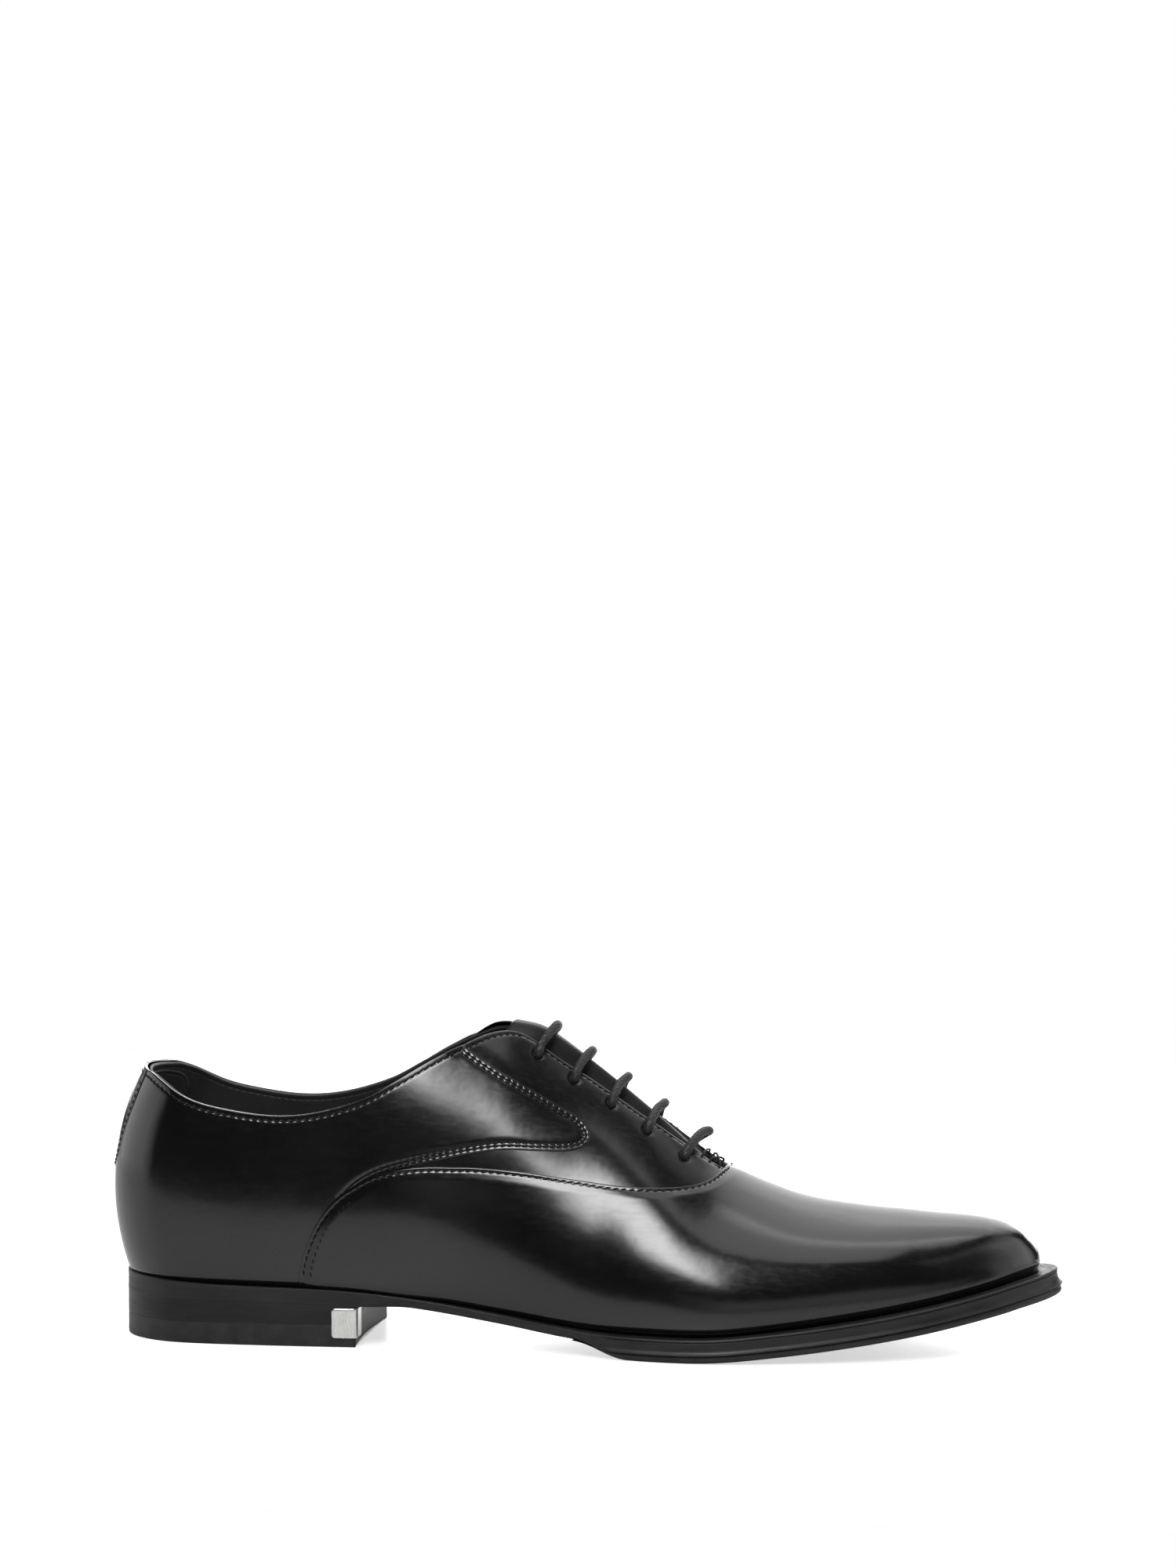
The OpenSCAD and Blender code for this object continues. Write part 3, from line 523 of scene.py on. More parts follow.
def joined(parts):
    """Several pieces of mesh as one, with matching points welded."""
    co = np.vstack([p[0] for p in parts])
    nr = np.vstack([p[2] for p in parts])
    faces, off = [], 0
    for p in parts:
        faces += [tuple(i + off for i in f) for f in p[1]]
        off += len(p[0])
    key = np.round(co / 0.002).astype(np.int64)
    _, first, inv = np.unique(key, axis=0, return_index=True, return_inverse=True)
    inv = inv.ravel()
    acc = np.zeros((len(first), 3))
    np.add.at(acc, inv, nr)
    out = []
    for f in faces:
        g = []
        for i in f:
            j = int(inv[i])
            if not g or (g[-1] != j and g[0] != j):
                g.append(j)
        if len(g) > 2:
            out.append(tuple(g))
    return co[first], out, unit(acc)


# ---------------------------------------------------------------------------------------------
# Stitches and cords

def threads(name, rows, material, radius=0.24, fill=0.74, slant=0.2):
    """Rows of sewn stitches. Each row is (points, outward directions) at the needle holes."""
    sides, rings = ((6, 7))
    co, faces = [], []
    count = 0
    for pts, nrm in rows:
        for k in range(len(pts) - 1):
            a, b, n = pts[k], pts[k + 1], unit(nrm[k] + nrm[k + 1])
            t = unit(b - a)
            side = np.cross(n, t)
            length = np.linalg.norm(b - a)
            ring_ids = []
            for i in range(rings):
                u = i / (rings - 1)
                x = (0.5 - fill / 2 + fill * u)
                lift = -0.32 + 0.42 * math.sin(math.pi * u) ** 0.7
                rr = radius * (0.35 + 0.65 * math.sin(math.pi * (0.06 + 0.88 * u)) ** 0.6)
                c = a + t * (length * x) + n * lift + side * (slant * (u - 0.5) * 2)
                ang = np.linspace(0, 2 * math.pi, sides, endpoint=False)
                ringp = c + rr * (np.cos(ang)[:, None] * n + np.sin(ang)[:, None] * side)
                co.append(ringp)
                ring_ids.append(count)
                count += sides
            for i in range(rings - 1):
                for j in range(sides):
                    j2 = (j + 1) % sides
                    r0, r1 = ring_ids[i], ring_ids[i + 1]
                    faces.append((r0 + j, r1 + j, r1 + j2, r0 + j2))
            faces.append(tuple(ring_ids[0] + j for j in range(sides)))
            faces.append(tuple(ring_ids[-1] + j for j in range(sides - 1, -1, -1)))
    return mesh_object(name, np.vstack(co), faces, material)


def seam_row(qv_line, s, d, pitch, height, turn, first=0.5):
    """Needle holes along a line, d inside it; turn is 1 or -1 for which side is inside."""
    qv, arc, p = evenly(curve(qv_line), s, 0.4)
    tq, tv = tangents(qv[:, 0], qv[:, 1], s)
    nn = outward(qv[:, 0], qv[:, 1], s)
    inw = turn * np.cross(nn, unit(np.gradient(p, axis=0)))
    g11, g12, g22 = (tq * tq).sum(1), (tq * tv).sum(1), (tv * tv).sum(1)
    b1, b2 = (inw * tq).sum(1), (inw * tv).sum(1)
    det = g11 * g22 - g12 * g12
    dq, dv = (b1 * g22 - b2 * g12) / det, (b2 * g11 - b1 * g12) / det
    at = np.arange(math.ceil(first), int(arc[-1] / pitch)) * pitch
    q = np.interp(at, arc, qv[:, 0] + d * dq)
    v = np.interp(at, arc, qv[:, 1] + d * dv)
    n = outward(q, v, s)
    return base(q, v, s) + height(q, v)[..., None] * n, n


def tube(name, pts, radius, material, sides=40, braid=0.0, step=0.16):
    """Round cord along a smooth line through pts, with a braided surface."""
    p = np.array(pts, float)
    e = np.vstack([2 * p[0] - p[1], p, 2 * p[-1] - p[-2]])
    dense = np.vstack([spline4(e[i], e[i + 1], e[i + 2], e[i + 3], (np.arange(40) / 40)[:, None])
                       for i in range(len(p) - 1)] + [p[-1:]])
    for _ in range(2):
        dense[1:-1] = dense[1:-1] * 0.5 + (dense[:-2] + dense[2:]) * 0.25
    arc = np.concatenate([[0], np.cumsum(np.linalg.norm(np.diff(dense, axis=0), axis=1))])
    n = int(arc[-1] / step)
    at = np.linspace(0, arc[-1], n + 1)
    c = np.stack([np.interp(at, arc, dense[:, k]) for k in range(3)], -1)
    t = unit(np.gradient(c, axis=0))
    us = np.zeros_like(c)
    u = unit(np.cross(t[0], [0.3, 1.0, 0.2]))
    for i in range(len(c)):
        u = u - (u @ t[i]) * t[i]
        u = u / np.linalg.norm(u)
        us[i] = u
    ws = np.cross(t, us)
    ang = np.linspace(0, 2 * math.pi, sides, endpoint=False)
    r = np.full((len(c), sides), radius)
    if braid:
        a, b = ang[None, :] * 8, (at * 2 * math.pi / 2.3)[:, None]
        over = np.maximum(np.abs(np.cos((a + b) / 2)) ** 0.6 * (0.6 + 0.4 * np.cos((a - b))),
                          np.abs(np.cos((a - b) / 2)) ** 0.6 * (0.6 - 0.4 * np.cos((a + b))))
        r = r + braid * (over - 0.6)
    co = c[:, None, :] + r[..., None] * (np.cos(ang)[None, :, None] * us[:, None, :]
                                         + np.sin(ang)[None, :, None] * ws[:, None, :])
    co = co.reshape(-1, 3)
    faces = []
    for i in range(len(c) - 1):
        for j in range(sides):
            j2 = (j + 1) % sides
            faces.append((i * sides + j, i * sides + j2, (i + 1) * sides + j2, (i + 1) * sides + j))
    faces.append(tuple(range(sides - 1, -1, -1)))
    faces.append(tuple((len(c) - 1) * sides + j for j in range(sides)))
    return mesh_object(name, co, faces, material)


def grid_object(name, g, material, close_rows=False, close_cols=False, flip=False, caps=False):
    """Mesh from a grid of points, rows by columns."""
    g = np.asarray(g)
    n, m = g.shape[:2]
    faces = []
    for i in range(n - (0 if close_rows else 1)):
        for j in range(m - (0 if close_cols else 1)):
            f = (i * m + j, i * m + (j + 1) % m, ((i + 1) % n) * m + (j + 1) % m, ((i + 1) % n) * m + j)
            faces.append(f[::-1] if flip else f)
    if caps:
        a, b = tuple(range(m)), tuple((n - 1) * m + j for j in range(m - 1, -1, -1))
        faces += [a[::-1] if not flip else a, b[::-1] if not flip else b]
    co, faces, _ = joined([(g.reshape(-1, 3), faces, np.ones((n * m, 3)))])
    return mesh_object(name, co, faces, material, area_normals(co, faces))


# ---------------------------------------------------------------------------------------------
# Materials. Texture coordinates are the object's own, turned into millimetres.

class Nodes:
    def __init__(self, name):
        self.mat = bpy.data.materials.new(name)
        self.mat.use_nodes = True
        self.t = self.mat.node_tree
        self.t.nodes.clear()
        self.out = self.t.nodes.new("ShaderNodeOutputMaterial")
        self.bsdf = self.t.nodes.new("ShaderNodeBsdfPrincipled")
        self.t.links.new(self.bsdf.outputs[0], self.out.inputs[0])
        tc = self.t.nodes.new("ShaderNodeTexCoord")
        mp = self.t.nodes.new("ShaderNodeMapping")
        mp.inputs["Scale"].default_value = (1000, 1000, 1000)
        self.t.links.new(tc.outputs["Object"], mp.inputs[0])
        self.co = mp.outputs[0]
        self.normal = None

    def node(self, kind, links=(), **values):
        n = self.t.nodes.new(kind)
        for k, v in values.items():
            if hasattr(n, k):
                setattr(n, k, v)
            else:
                n.inputs[k.replace("_", " ")].default_value = v
        for socket, source in links:
            self.t.links.new(source, n.inputs[socket])
        return n

    def noise(self, scale, detail=3, rough=0.5, co=None, stretch=None, distortion=0.0):
        co = co or self.co
        if stretch:
            co = self.node("ShaderNodeMapping", [(0, co)], Scale=stretch).outputs[0]
        n = self.node("ShaderNodeTexNoise", [("Vector", co)], Scale=scale, Detail=detail,
                      Roughness=rough, Distortion=distortion)
        return n.outputs["Fac"]

    def cells(self, scale, feature="F1"):
        n = self.node("ShaderNodeTexVoronoi", [("Vector", self.co)], feature=feature, Scale=scale)
        return n.outputs["Distance"]

    def ramp(self, fac, stops):
        n = self.node("ShaderNodeValToRGB", [(0, fac)])
        e = n.color_ramp.elements
        while len(e) < len(stops):
            e.new(0.5)
        for el, (p, c) in zip(e, stops):
            el.position = p
            el.color = (c, c, c, 1) if isinstance(c, (int, float)) else (*c, 1)
        return n.outputs[0]

    def math(self, op, a, b=None, clamp=False):
        n = self.node("ShaderNodeMath", operation=op, use_clamp=clamp)
        for i, v in enumerate([a, b]):
            if v is None:
                continue
            if isinstance(v, (int, float)):
                n.inputs[i].default_value = v
            else:
                self.t.links.new(v, n.inputs[i])
        return n.outputs[0]

    def mixed(self, fac, a, b):
        n = self.node("ShaderNodeMix", data_type="RGBA")
        for i, v in ((0, fac), (6, a), (7, b)):
            if isinstance(v, (int, float)):
                n.inputs[i].default_value = v
            elif isinstance(v, tuple):
                n.inputs[i].default_value = (*v, 1)
            else:
                self.t.links.new(v, n.inputs[i])
        return n.outputs[2]

    def bump(self, height, strength, distance):
        n = self.node("ShaderNodeBump", [("Height", height)], Strength=strength, Distance=distance * MM)
        if self.normal is not None:
            self.t.links.new(self.normal, n.inputs["Normal"])
        self.normal = n.outputs[0]

    def done(self, colour, rough, metallic=0.0, coat=0.0, coat_rough=0.1, sheen=0.0, spec=0.5, ior=1.5):
        b = self.bsdf
        for name, v in (("Base Color", colour), ("Roughness", rough)):
            if isinstance(v, tuple):
                b.inputs[name].default_value = (*v, 1)
            elif isinstance(v, (int, float)):
                b.inputs[name].default_value = v
            else:
                self.t.links.new(v, b.inputs[name])
        b.inputs["Metallic"].default_value = metallic
        b.inputs["Coat Weight"].default_value = coat
        b.inputs["Coat Roughness"].default_value = coat_rough
        b.inputs["Sheen Weight"].default_value = sheen
        b.inputs["Specular IOR Level"].default_value = spec
        b.inputs["IOR"].default_value = ior
        if self.normal is not None:
            self.t.links.new(self.normal, b.inputs["Normal"])
        return self.mat


def polished_leather():
    """Black polished calf: almost smooth, with fine pores, faint rub marks and a few specks."""
    m = Nodes("polished_leather")
    pores = m.ramp(m.cells(2.6), [(0.0, 0.0), (0.35, 1.0)])
    grain = m.noise(3.4, 4, 0.6)
    rub = m.ramp(m.noise(0.9, 2, 0.5, stretch=(0.18, 1.0, 1.0)), [(0.45, 0.0), (0.75, 1.0)])
    specks = m.ramp(m.cells(0.35), [(0.028, 1.0), (0.04, 0.0)])
    m.bump(grain, 0.10, 0.05)
    m.bump(pores, 0.07, 0.03)
    m.bump(m.noise(0.16, 2, 0.5), 0.25, 0.25)
    tone = m.ramp(m.noise(0.05, 3), [(0.3, (0.0022, 0.0022, 0.0024)), (0.7, (0.0042, 0.0041, 0.004))])
    tone = m.mixed(m.math("MULTIPLY", specks, 0.35), tone, (0.05, 0.05, 0.052))
    rough = m.math("ADD", m.math("MULTIPLY", rub, 0.05), m.math("MULTIPLY", m.noise(0.5, 3), 0.08))
    rough = m.math("ADD", rough, 0.15)
    return m.done(tone, rough, coat=0.25, coat_rough=0.12, spec=0.55)


def dull_leather():
    """Unpolished black leather of the tongue."""
    m = Nodes("tongue_leather_dull")
    grain = m.noise(2.8, 4, 0.6)
    m.bump(grain, 0.3, 0.08)
    tone = m.ramp(m.noise(0.08, 3), [(0.3, (0.003, 0.003, 0.003)), (0.7, (0.006, 0.006, 0.006))])
    return m.done(tone, m.ramp(grain, [(0.3, 0.42), (0.7, 0.55)]), spec=0.25)


def lining_leather():
    m = Nodes("lining_leather_soft")
    grain = m.noise(2.2, 5, 0.65)
    m.bump(grain, 0.35, 0.12)
    m.bump(m.ramp(m.cells(1.6), [(0.0, 0.0), (0.4, 1.0)]), 0.2, 0.08)
    tone = m.ramp(m.noise(0.08, 4), [(0.3, (0.008, 0.008, 0.008)), (0.7, (0.016, 0.0155, 0.015))])
    return m.done(tone, m.ramp(grain, [(0.3, 0.42), (0.7, 0.62)]), sheen=0.05)


def sole_edge(name, stripes, colour=0.012, rough=0.3):
    """Inked and burnished edge with fine level scratches left by the trimming wheel."""
    m = Nodes(name)
    lines = m.noise(stripes, 3, 0.7, stretch=(0.02, 0.02, 1.0))
    fleck = m.noise(6.0, 4, 0.7)
    m.bump(lines, 0.55, 0.10)
    m.bump(fleck, 0.2, 0.05)
    c = colour
    tone = m.ramp(m.noise(0.12, 4, stretch=(0.4, 0.4, 1.5)),
                  [(0.3, (c * 0.7, c * 0.7, c * 0.72)), (0.72, (c * 1.6, c * 1.6, c * 1.62))])
    tone = m.mixed(m.ramp(lines, [(0.62, 0.0), (0.8, 0.5)]), tone, (c * 3.2, c * 3.1, c * 3.1))
    return m.done(tone, m.ramp(lines, [(0.3, rough * 0.85), (0.75, rough * 1.4)]), spec=0.35)


def sole_rubber():
    m = Nodes("sole_rubber_fine")
    fine = m.noise(4.5, 4, 0.65)
    m.bump(fine, 0.35, 0.08)
    m.bump(m.noise(0.7, 2), 0.15, 0.2)
    tone = m.ramp(m.noise(0.2, 4), [(0.3, (0.009, 0.009, 0.0095)), (0.7, (0.02, 0.02, 0.021))])
    return m.done(tone, m.ramp(fine, [(0.3, 0.36), (0.7, 0.52)]), spec=0.4)


def waxed_cotton():
    m = Nodes("waxed_cotton")
    strands = m.noise(7.0, 3, 0.6)
    m.bump(strands, 0.5, 0.08)
    tone = m.ramp(m.noise(1.3, 4), [(0.3, (0.0035, 0.0035, 0.0037)), (0.7, (0.011, 0.011, 0.0117))])
    # bright specks mixed into the colour: painted highlights standing in for glints of light on the braid
    tone = m.mixed(m.ramp(m.noise(12.0, 2), [(0.66, 0.0), (0.74, 0.6)]), tone, (0.08, 0.08, 0.084))
    return m.done(tone, m.ramp(strands, [(0.3, 0.34), (0.7, 0.6)]), sheen=0.04)


def sewing_thread():
    m = Nodes("sewing_thread")
    twist = m.noise(9.0, 2, 0.5)
    m.bump(twist, 0.5, 0.05)
    tone = m.ramp(twist, [(0.35, (0.005, 0.005, 0.0052)), (0.65, (0.018, 0.018, 0.0187))])
    return m.done(tone, m.ramp(twist, [(0.3, 0.5), (0.7, 0.65)]), spec=0.16)


def nickel():
    m = Nodes("brushed_nickel")
    brush = m.noise(3.0, 3, 0.6, stretch=(1.0, 1.0, 0.06))
    m.bump(brush, 0.12, 0.03)
    tone = m.ramp(m.noise(0.3, 3), [(0.3, (0.80, 0.79, 0.77)), (0.7, (0.92, 0.91, 0.89))])
    return m.done(tone, m.ramp(brush, [(0.3, 0.18), (0.7, 0.32)]), metallic=1.0)


def fibrous(name, low, high, scale, rough=0.7, metallic=0.0):
    """Plain stuff of the hidden layers: board, cork, cloth, steel."""
    m = Nodes(name)
    n = m.noise(scale, 5, 0.65)
    m.bump(n, 0.5, 0.2)
    return m.done(m.ramp(n, [(0.3, low), (0.7, high)]), m.ramp(n, [(0.3, rough * 0.8), (0.7, rough)]),
                  metallic=metallic)


LEATHER = polished_leather()
DULL = dull_leather()
LINING = lining_leather()
EDGE = sole_edge("sole_edge_leather", 2.6, 0.011, 0.4)
HEEL = sole_edge("heel_stack_leather", 1.6, 0.008, 0.38)
RUBBER = sole_rubber()
COTTON = waxed_cotton()
THREAD = sewing_thread()
NICKEL = nickel()

HIDDEN = {
    "stiffener_board": fibrous("stiffener_board_pressed", (0.42, 0.36, 0.26), (0.60, 0.54, 0.42), 1.5),
    "stay_fabric": fibrous("stay_fabric_woven", (0.55, 0.53, 0.46), (0.72, 0.70, 0.62), 3.0),
    "cork": fibrous("cork_ground", (0.26, 0.16, 0.08), (0.55, 0.38, 0.22), 0.8),
    "insole_board": fibrous("insole_board_leather", (0.36, 0.26, 0.16), (0.52, 0.40, 0.27), 1.2),
    "spring_steel": fibrous("spring_steel_rolled", (0.36, 0.37, 0.39), (0.52, 0.53, 0.55), 2.0, 0.35, 1.0),
    "nail_steel": fibrous("nail_steel_drawn", (0.42, 0.41, 0.38), (0.58, 0.57, 0.54), 2.0, 0.4, 1.0),
    "nickel": NICKEL,
    "tip_plastic": fibrous("tip_plastic_moulded", (0.012, 0.012, 0.012), (0.03, 0.03, 0.03), 2.0, 0.3),
    "upper_leather": LEATHER, "lining_leather": LINING, "sole_leather": EDGE, "sole_rubber": RUBBER,
    "lace_cotton": COTTON, "thread": THREAD,
}

# Where the front of the shoe bends away from the rear, and where the tongue leaves the throat.
BEND = ((0.092, 0, 0.02), (0.038, 0, 0.02))


def put(ob, body, nodes=(), bend=False):
    if nodes:
        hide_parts(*nodes)
    if bend:
        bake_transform(ob)
    else:
        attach(ob, body)
    return ob


# ---------------------------------------------------------------------------------------------
# Upper

_k = station(np.linspace(0, QN, 1701))
SEAM = _k[:, :2]
FLAT_TOE = 138.0


def seam_at(x):
    """Height of the sole seam at a place along X; it runs on evenly round the toe."""
    xl = np.asarray(x) - CENTRE_X
    z = np.interp(np.minimum(xl, FLAT_TOE), SEAM[:, 0], SEAM[:, 1])
    return z + 0.22 * np.maximum(0, xl - FLAT_TOE)


T_LEATHER = 0.95
SKIVE = 0.5
TUCK = 1.45
TUCK_POWER = 1.12
FOOT_HEIGHT = 3.0
SIDES = ((-1, "lateral"), (1, "medial"))


def quarter_base(q, v):
    return 0.02 + 0 * q


def facing_base(q, v):
    return -0.97 + 0 * q


def vamp_base(q, v):
    full_toe = ease((q - 13.0) / 1.6) * (1 - ease((q - 16.1) / 0.9)) * ease((v - 0.25) / 0.35)
    along_shoe = ease((q - 8.2) / 1.3) * (1 - ease((q - 12.0) / 1.8))
    shoulder = along_shoe * ease((v - 0.12) / 0.3) * (1 - ease((v - 0.42) / 0.36))
    return (0.97 - 0.95 * ease((q - 5.6) / 1.0) - 0.8 * ease((q - 10.0) / 2.2)
            + 1.5 * full_toe + 1.4 * shoulder)


def leather_ripple(q, v, s, p):
    """Slight unevenness, and the tuck where the upper turns under above the sole."""
    return ripples(p, 0.05, 34.0, 5) - TUCK * tucked(v / foot_band(q))


def on(basef, t):
    def height(q, v):
        return basef(q, v) + t
    return height


def weld(a, b, ids_a, ids_b):
    """Make the shared points of two halves the same."""
    m = (a[0][ids_a] + b[0][ids_b]) / 2
    a[0][ids_a] = m
    b[0][ids_b] = m
    n = unit(a[2][ids_a] + b[2][ids_b])
    a[2][ids_a] = n
    b[2][ids_b] = n


NOSE_X = 134.0
NOSE_Q = 14.83
# The tip lies NOSE_R ahead of the dome's centre; the dome is NOSE_RISE further out at NOSE_TOP degrees up.
NOSE_R = 12.8
NOSE_RISE = 3.4
NOSE_TOP = 76
NOSE_POWER = 2.3


def nose_profile(straight_up):
    """Profile of the toe down its middle: elevation from the dome's centre, and how far out it lies."""
    a = np.linspace(0, NOSE_TOP, 20)
    return np.vstack([np.column_stack([a, NOSE_R + NOSE_RISE * (a / NOSE_TOP) ** NOSE_POWER]),
                      [90, straight_up]])


def from_nose(p):
    """Place relative to the centre of the toe's dome: forward, sideways, above the seam."""
    x = p[..., 0] - CENTRE_X
    return np.stack([x - NOSE_X, p[..., 1] - lean(x), p[..., 2] - seam_at(p[..., 0])], -1)


def nose_tables():
    """How far out the section beside the dome's centre and the foot round it lie, for each side."""
    v = np.linspace(0, 1, 120)
    out = {}
    for s in (-1, 1):
        side = from_nose(skin(NOSE_Q + 0 * v, v, s + 0 * v, vamp_base(NOSE_Q + 0 * v, v) + T_LEATHER))
        th = np.degrees(np.arctan2(side[:, 2], np.abs(side[:, 1])))
        order = np.argsort(th)
        q = np.linspace(NOSE_Q, QN, 120)
        foot = from_nose(skin(q, 0 * q, s + 0 * q, 0.17 + 0 * q))
        phi = np.degrees(np.arctan2(np.abs(foot[:, 1]), np.maximum(foot[:, 0], 0)))
        turn = np.argsort(phi)
        out[s] = (th[order], np.hypot(side[:, 1], side[:, 2])[order], phi[turn],
                  np.hypot(foot[:, 0], foot[:, 1])[turn])
    return out


def dome(rel, tables):
    """Distance of the dome in the direction of each place."""
    res = np.zeros(len(rel))
    fwd = np.maximum(rel[:, 0], 0)
    flat_r = np.hypot(fwd, rel[:, 1])
    th = np.degrees(np.arctan2(rel[:, 2], flat_r))
    phi = np.degrees(np.arctan2(np.abs(rel[:, 1]), fwd))
    c2, s2 = np.cos(np.radians(phi)) ** 2, np.sin(np.radians(phi)) ** 2
    for s in (-1, 1):
        t_side, r_side, t_foot, r_foot = tables[s]
        prof = nose_profile(r_side[-1])
        rs = np.interp(th, t_side, r_side)
        rp = np.interp(th, prof[:, 0], prof[:, 1])
        oval = 1 / np.sqrt(c2 / NOSE_R ** 2 + s2 / r_side[0] ** 2)
        k = np.interp(phi, t_foot, r_foot) / oval
        r = k ** (np.cos(np.radians(np.maximum(th, 0))) ** 2) / np.sqrt(c2 / rp ** 2 + s2 / rs ** 2)
        m = rel[:, 1] * s >= 0
        res[m] = r[m]
    return res


def mesh_links(part):
    tri = np.array([f[:3] for f in part[1]], int)
    links = np.vstack([tri[:, [0, 1]], tri[:, [1, 2]], tri[:, [2, 0]]])
    _, inv, cnt = np.unique(np.sort(links, axis=1), axis=0, return_inverse=True, return_counts=True)
    rim = np.zeros(len(part[0]), bool)
    rim[links[cnt[inv.ravel()] == 1].ravel()] = True
    return tri, links, rim


def relaxed(values, links, weight, rounds):
    for _ in range(rounds):
        acc, num = np.zeros_like(values), np.zeros(len(values))
        for a, b in ((0, 1), (1, 0)):
            np.add.at(acc, links[:, a], values[links[:, b]])
            np.add.at(num, links[:, a], 1)
        num = np.maximum(num, 1)
        mean = acc / (num[:, None] if values.ndim > 1 else num)
        values = values + (0.5 * (weight[:, None] if values.ndim > 1 else weight)) * (mean - values)
    return values


def to_dome(co, inset=0.0, tuck=0.0, even=None):
    """Draws places near the end of the toe out to the dome, inset below its surface."""
    co = co.copy()
    drop = np.interp(co[:, 0] - CENTRE_X, SEAM[:, 0], SEAM[:, 1]) - seam_at(co[:, 0])
    co[:, 2] -= drop * (1 - ease((co[:, 2] - seam_at(co[:, 0]) - 1.5) / 7.0))
    rel = from_nose(co)
    w = ease((rel[:, 0] + 1) / 11)
    r_old = np.hypot(np.hypot(np.maximum(rel[:, 0], 0), rel[:, 1]), rel[:, 2])
    r_new = dome(rel, nose_tables()) - inset - tuck * tucked(rel[:, 2] / FOOT_HEIGHT)
    scale = 1 + w * (r_new / np.maximum(r_old, 1e-6) - 1)
    if even is not None:
        scale = relaxed(scale, even, w, 6)
    rel[:, 0] = np.where(rel[:, 0] > 0, rel[:, 0] * scale, rel[:, 0])
    rel[:, 1:] *= scale[:, None]
    x = rel[:, 0] + NOSE_X
    return np.stack([x + CENTRE_X, rel[:, 1] + lean(x), rel[:, 2] + seam_at(x + CENTRE_X)], -1)


def round_toe(part):
    """Draws the end of the vamp over one smooth dome and brings its foot down to the welt."""
    co, faces, nrm = part
    tri, links, rim = mesh_links(part)
    w = ease((co[:, 0] - CENTRE_X - NOSE_X + 2) / 7)
    co = to_dome(relaxed(co, links, w * ~rim, 10), 0.0, TUCK, links)
    wn = ease((co[:, 0] - 128) / 6)[:, None]
    return co, faces, unit(nrm * (1 - wn) + vertex_normals(co, tri) * wn)


STEP = 1.6


def line(a, b, n=12):
    return np.linspace(np.array(a, float), np.array(b, float), n)


front_c = curve(QUARTER_FRONT)

# quarters
for s, side in SIDES:
    tip = front_c[-1]
    back = line((0, 0), (0, 0.712), 40)
    edges = [Edge(back, "weld", given=True),
             Edge(curve(TOPLINE), "fold", [(1.85, 2.4)]),
             Edge(front_c, "cut", [(1.1, 2.2), (2.2, 2.2)]),
             Edge(curve([tip, (4.85, 0.16), (4.72, 0.0)]), "hidden"),
             Edge(line((4.72, 0), (0, 0), 60), "foot")]
    part = panel_half(s, edges, quarter_base, T_LEATHER, 0.32, STEP, detail=leather_ripple, skive=SKIVE)
    ob = mesh_object("quarter_" + side + "_skin", part[0], part[1], LEATHER, part[2])
    put(ob, "rearfoot", ["quarter_" + side])
    rows = [seam_row(TOPLINE, s, 1.85, 2.4, on(quarter_base, T_LEATHER), s)]
    for d in (1.1, 2.2):
        rows.append(seam_row(QUARTER_FRONT[:-1], s, d, 2.2,
                             on(quarter_base, T_LEATHER - skived(d, SKIVE)), s))
    put(threads("quarter_" + side + "_stitches", rows, THREAD), "rearfoot")

# facings
for s, side in SIDES:
    ft, ff = curve(FACING_TOP), curve(FACING_FRONT)
    if s > 0:
        ft[:, 1] += 0.02 * ease((ft[:, 0] - 6.3) / 0.5)
        ff[:, 1] += 0.02 * (1 - ease((ff[:, 0] - 7.4) / 1.2))
    hid = curve([ff[-1], (10.25, 0.8), (9.95, 0.6), (9.3, 0.48), (8.5, 0.42), (7.5, 0.385), (6.4, 0.385),
                 (5.75, 0.42), (5.6, 0.52), (5.8, 0.65), ft[0]])
    edges = [Edge(ft, "fold", [(1.85, 2.4)]), Edge(ff, "fold", [(1.7, 2.3)]), Edge(hid, "hidden")]
    part = panel_half(s, edges, facing_base, T_LEATHER, 0.5, STEP,
                      holes=[(e[0], e[1], 1.5) for e in EYELETS], detail=leather_ripple)
    ob = mesh_object("facing_" + side + "_skin", part[0], part[1], LEATHER, part[2])
    put(ob, "rearfoot", ["facing_" + side], bend=True)
    hf = on(facing_base, T_LEATHER)
    rows = [seam_row(FACING_TOP, s, 1.85, 2.4, hf, s), seam_row(FACING_FRONT[:-2], s, 1.7, 2.3, hf, s)]
    put(threads("facing_" + side + "_stitches", rows, THREAD), "rearfoot", bend=True)

# vamp, welded along the ridge and round the toe
halves, weld_ids = [], []
vq = np.linspace(10.02, 17, 110)
ridge = np.stack([vq, np.ones_like(vq)], -1)
toe_line = line((17, 1), (17, 0), 16)
for s, side in SIDES:
    ve = curve(VAMP_EDGE)
    edges = [Edge(ve, "cut", [(1.2, 2.5)]), Edge(ridge, "weld", given=True),
             Edge(toe_line, "weld", given=True), Edge(line((17, 0), (4.4, 0), 140), "foot")]
    n_edge = len(evenly(ve, s, 0.55)[0]) - 1
    tip_q = QN - np.linspace(0.07, 1.7, 24)
    tip_v = np.linspace(0.055, 0.965, 30)
    fine_tip = np.stack(np.meshgrid(tip_q, tip_v), -1).reshape(-1, 2)
    halves.append(panel_half(s, edges, vamp_base, T_LEATHER, 0.32, STEP, detail=leather_ripple, skive=SKIVE,
                             denser=fine_tip))
    weld_ids.append(np.arange(n_edge, n_edge + len(ridge) + len(toe_line) - 1))
weld(halves[0], halves[1], weld_ids[0], weld_ids[1])
part = round_toe(joined(halves))
put(mesh_object("vamp_skin", part[0], part[1], LEATHER, part[2]), "forefoot", ["vamp"],
    bend=True)
rows = []
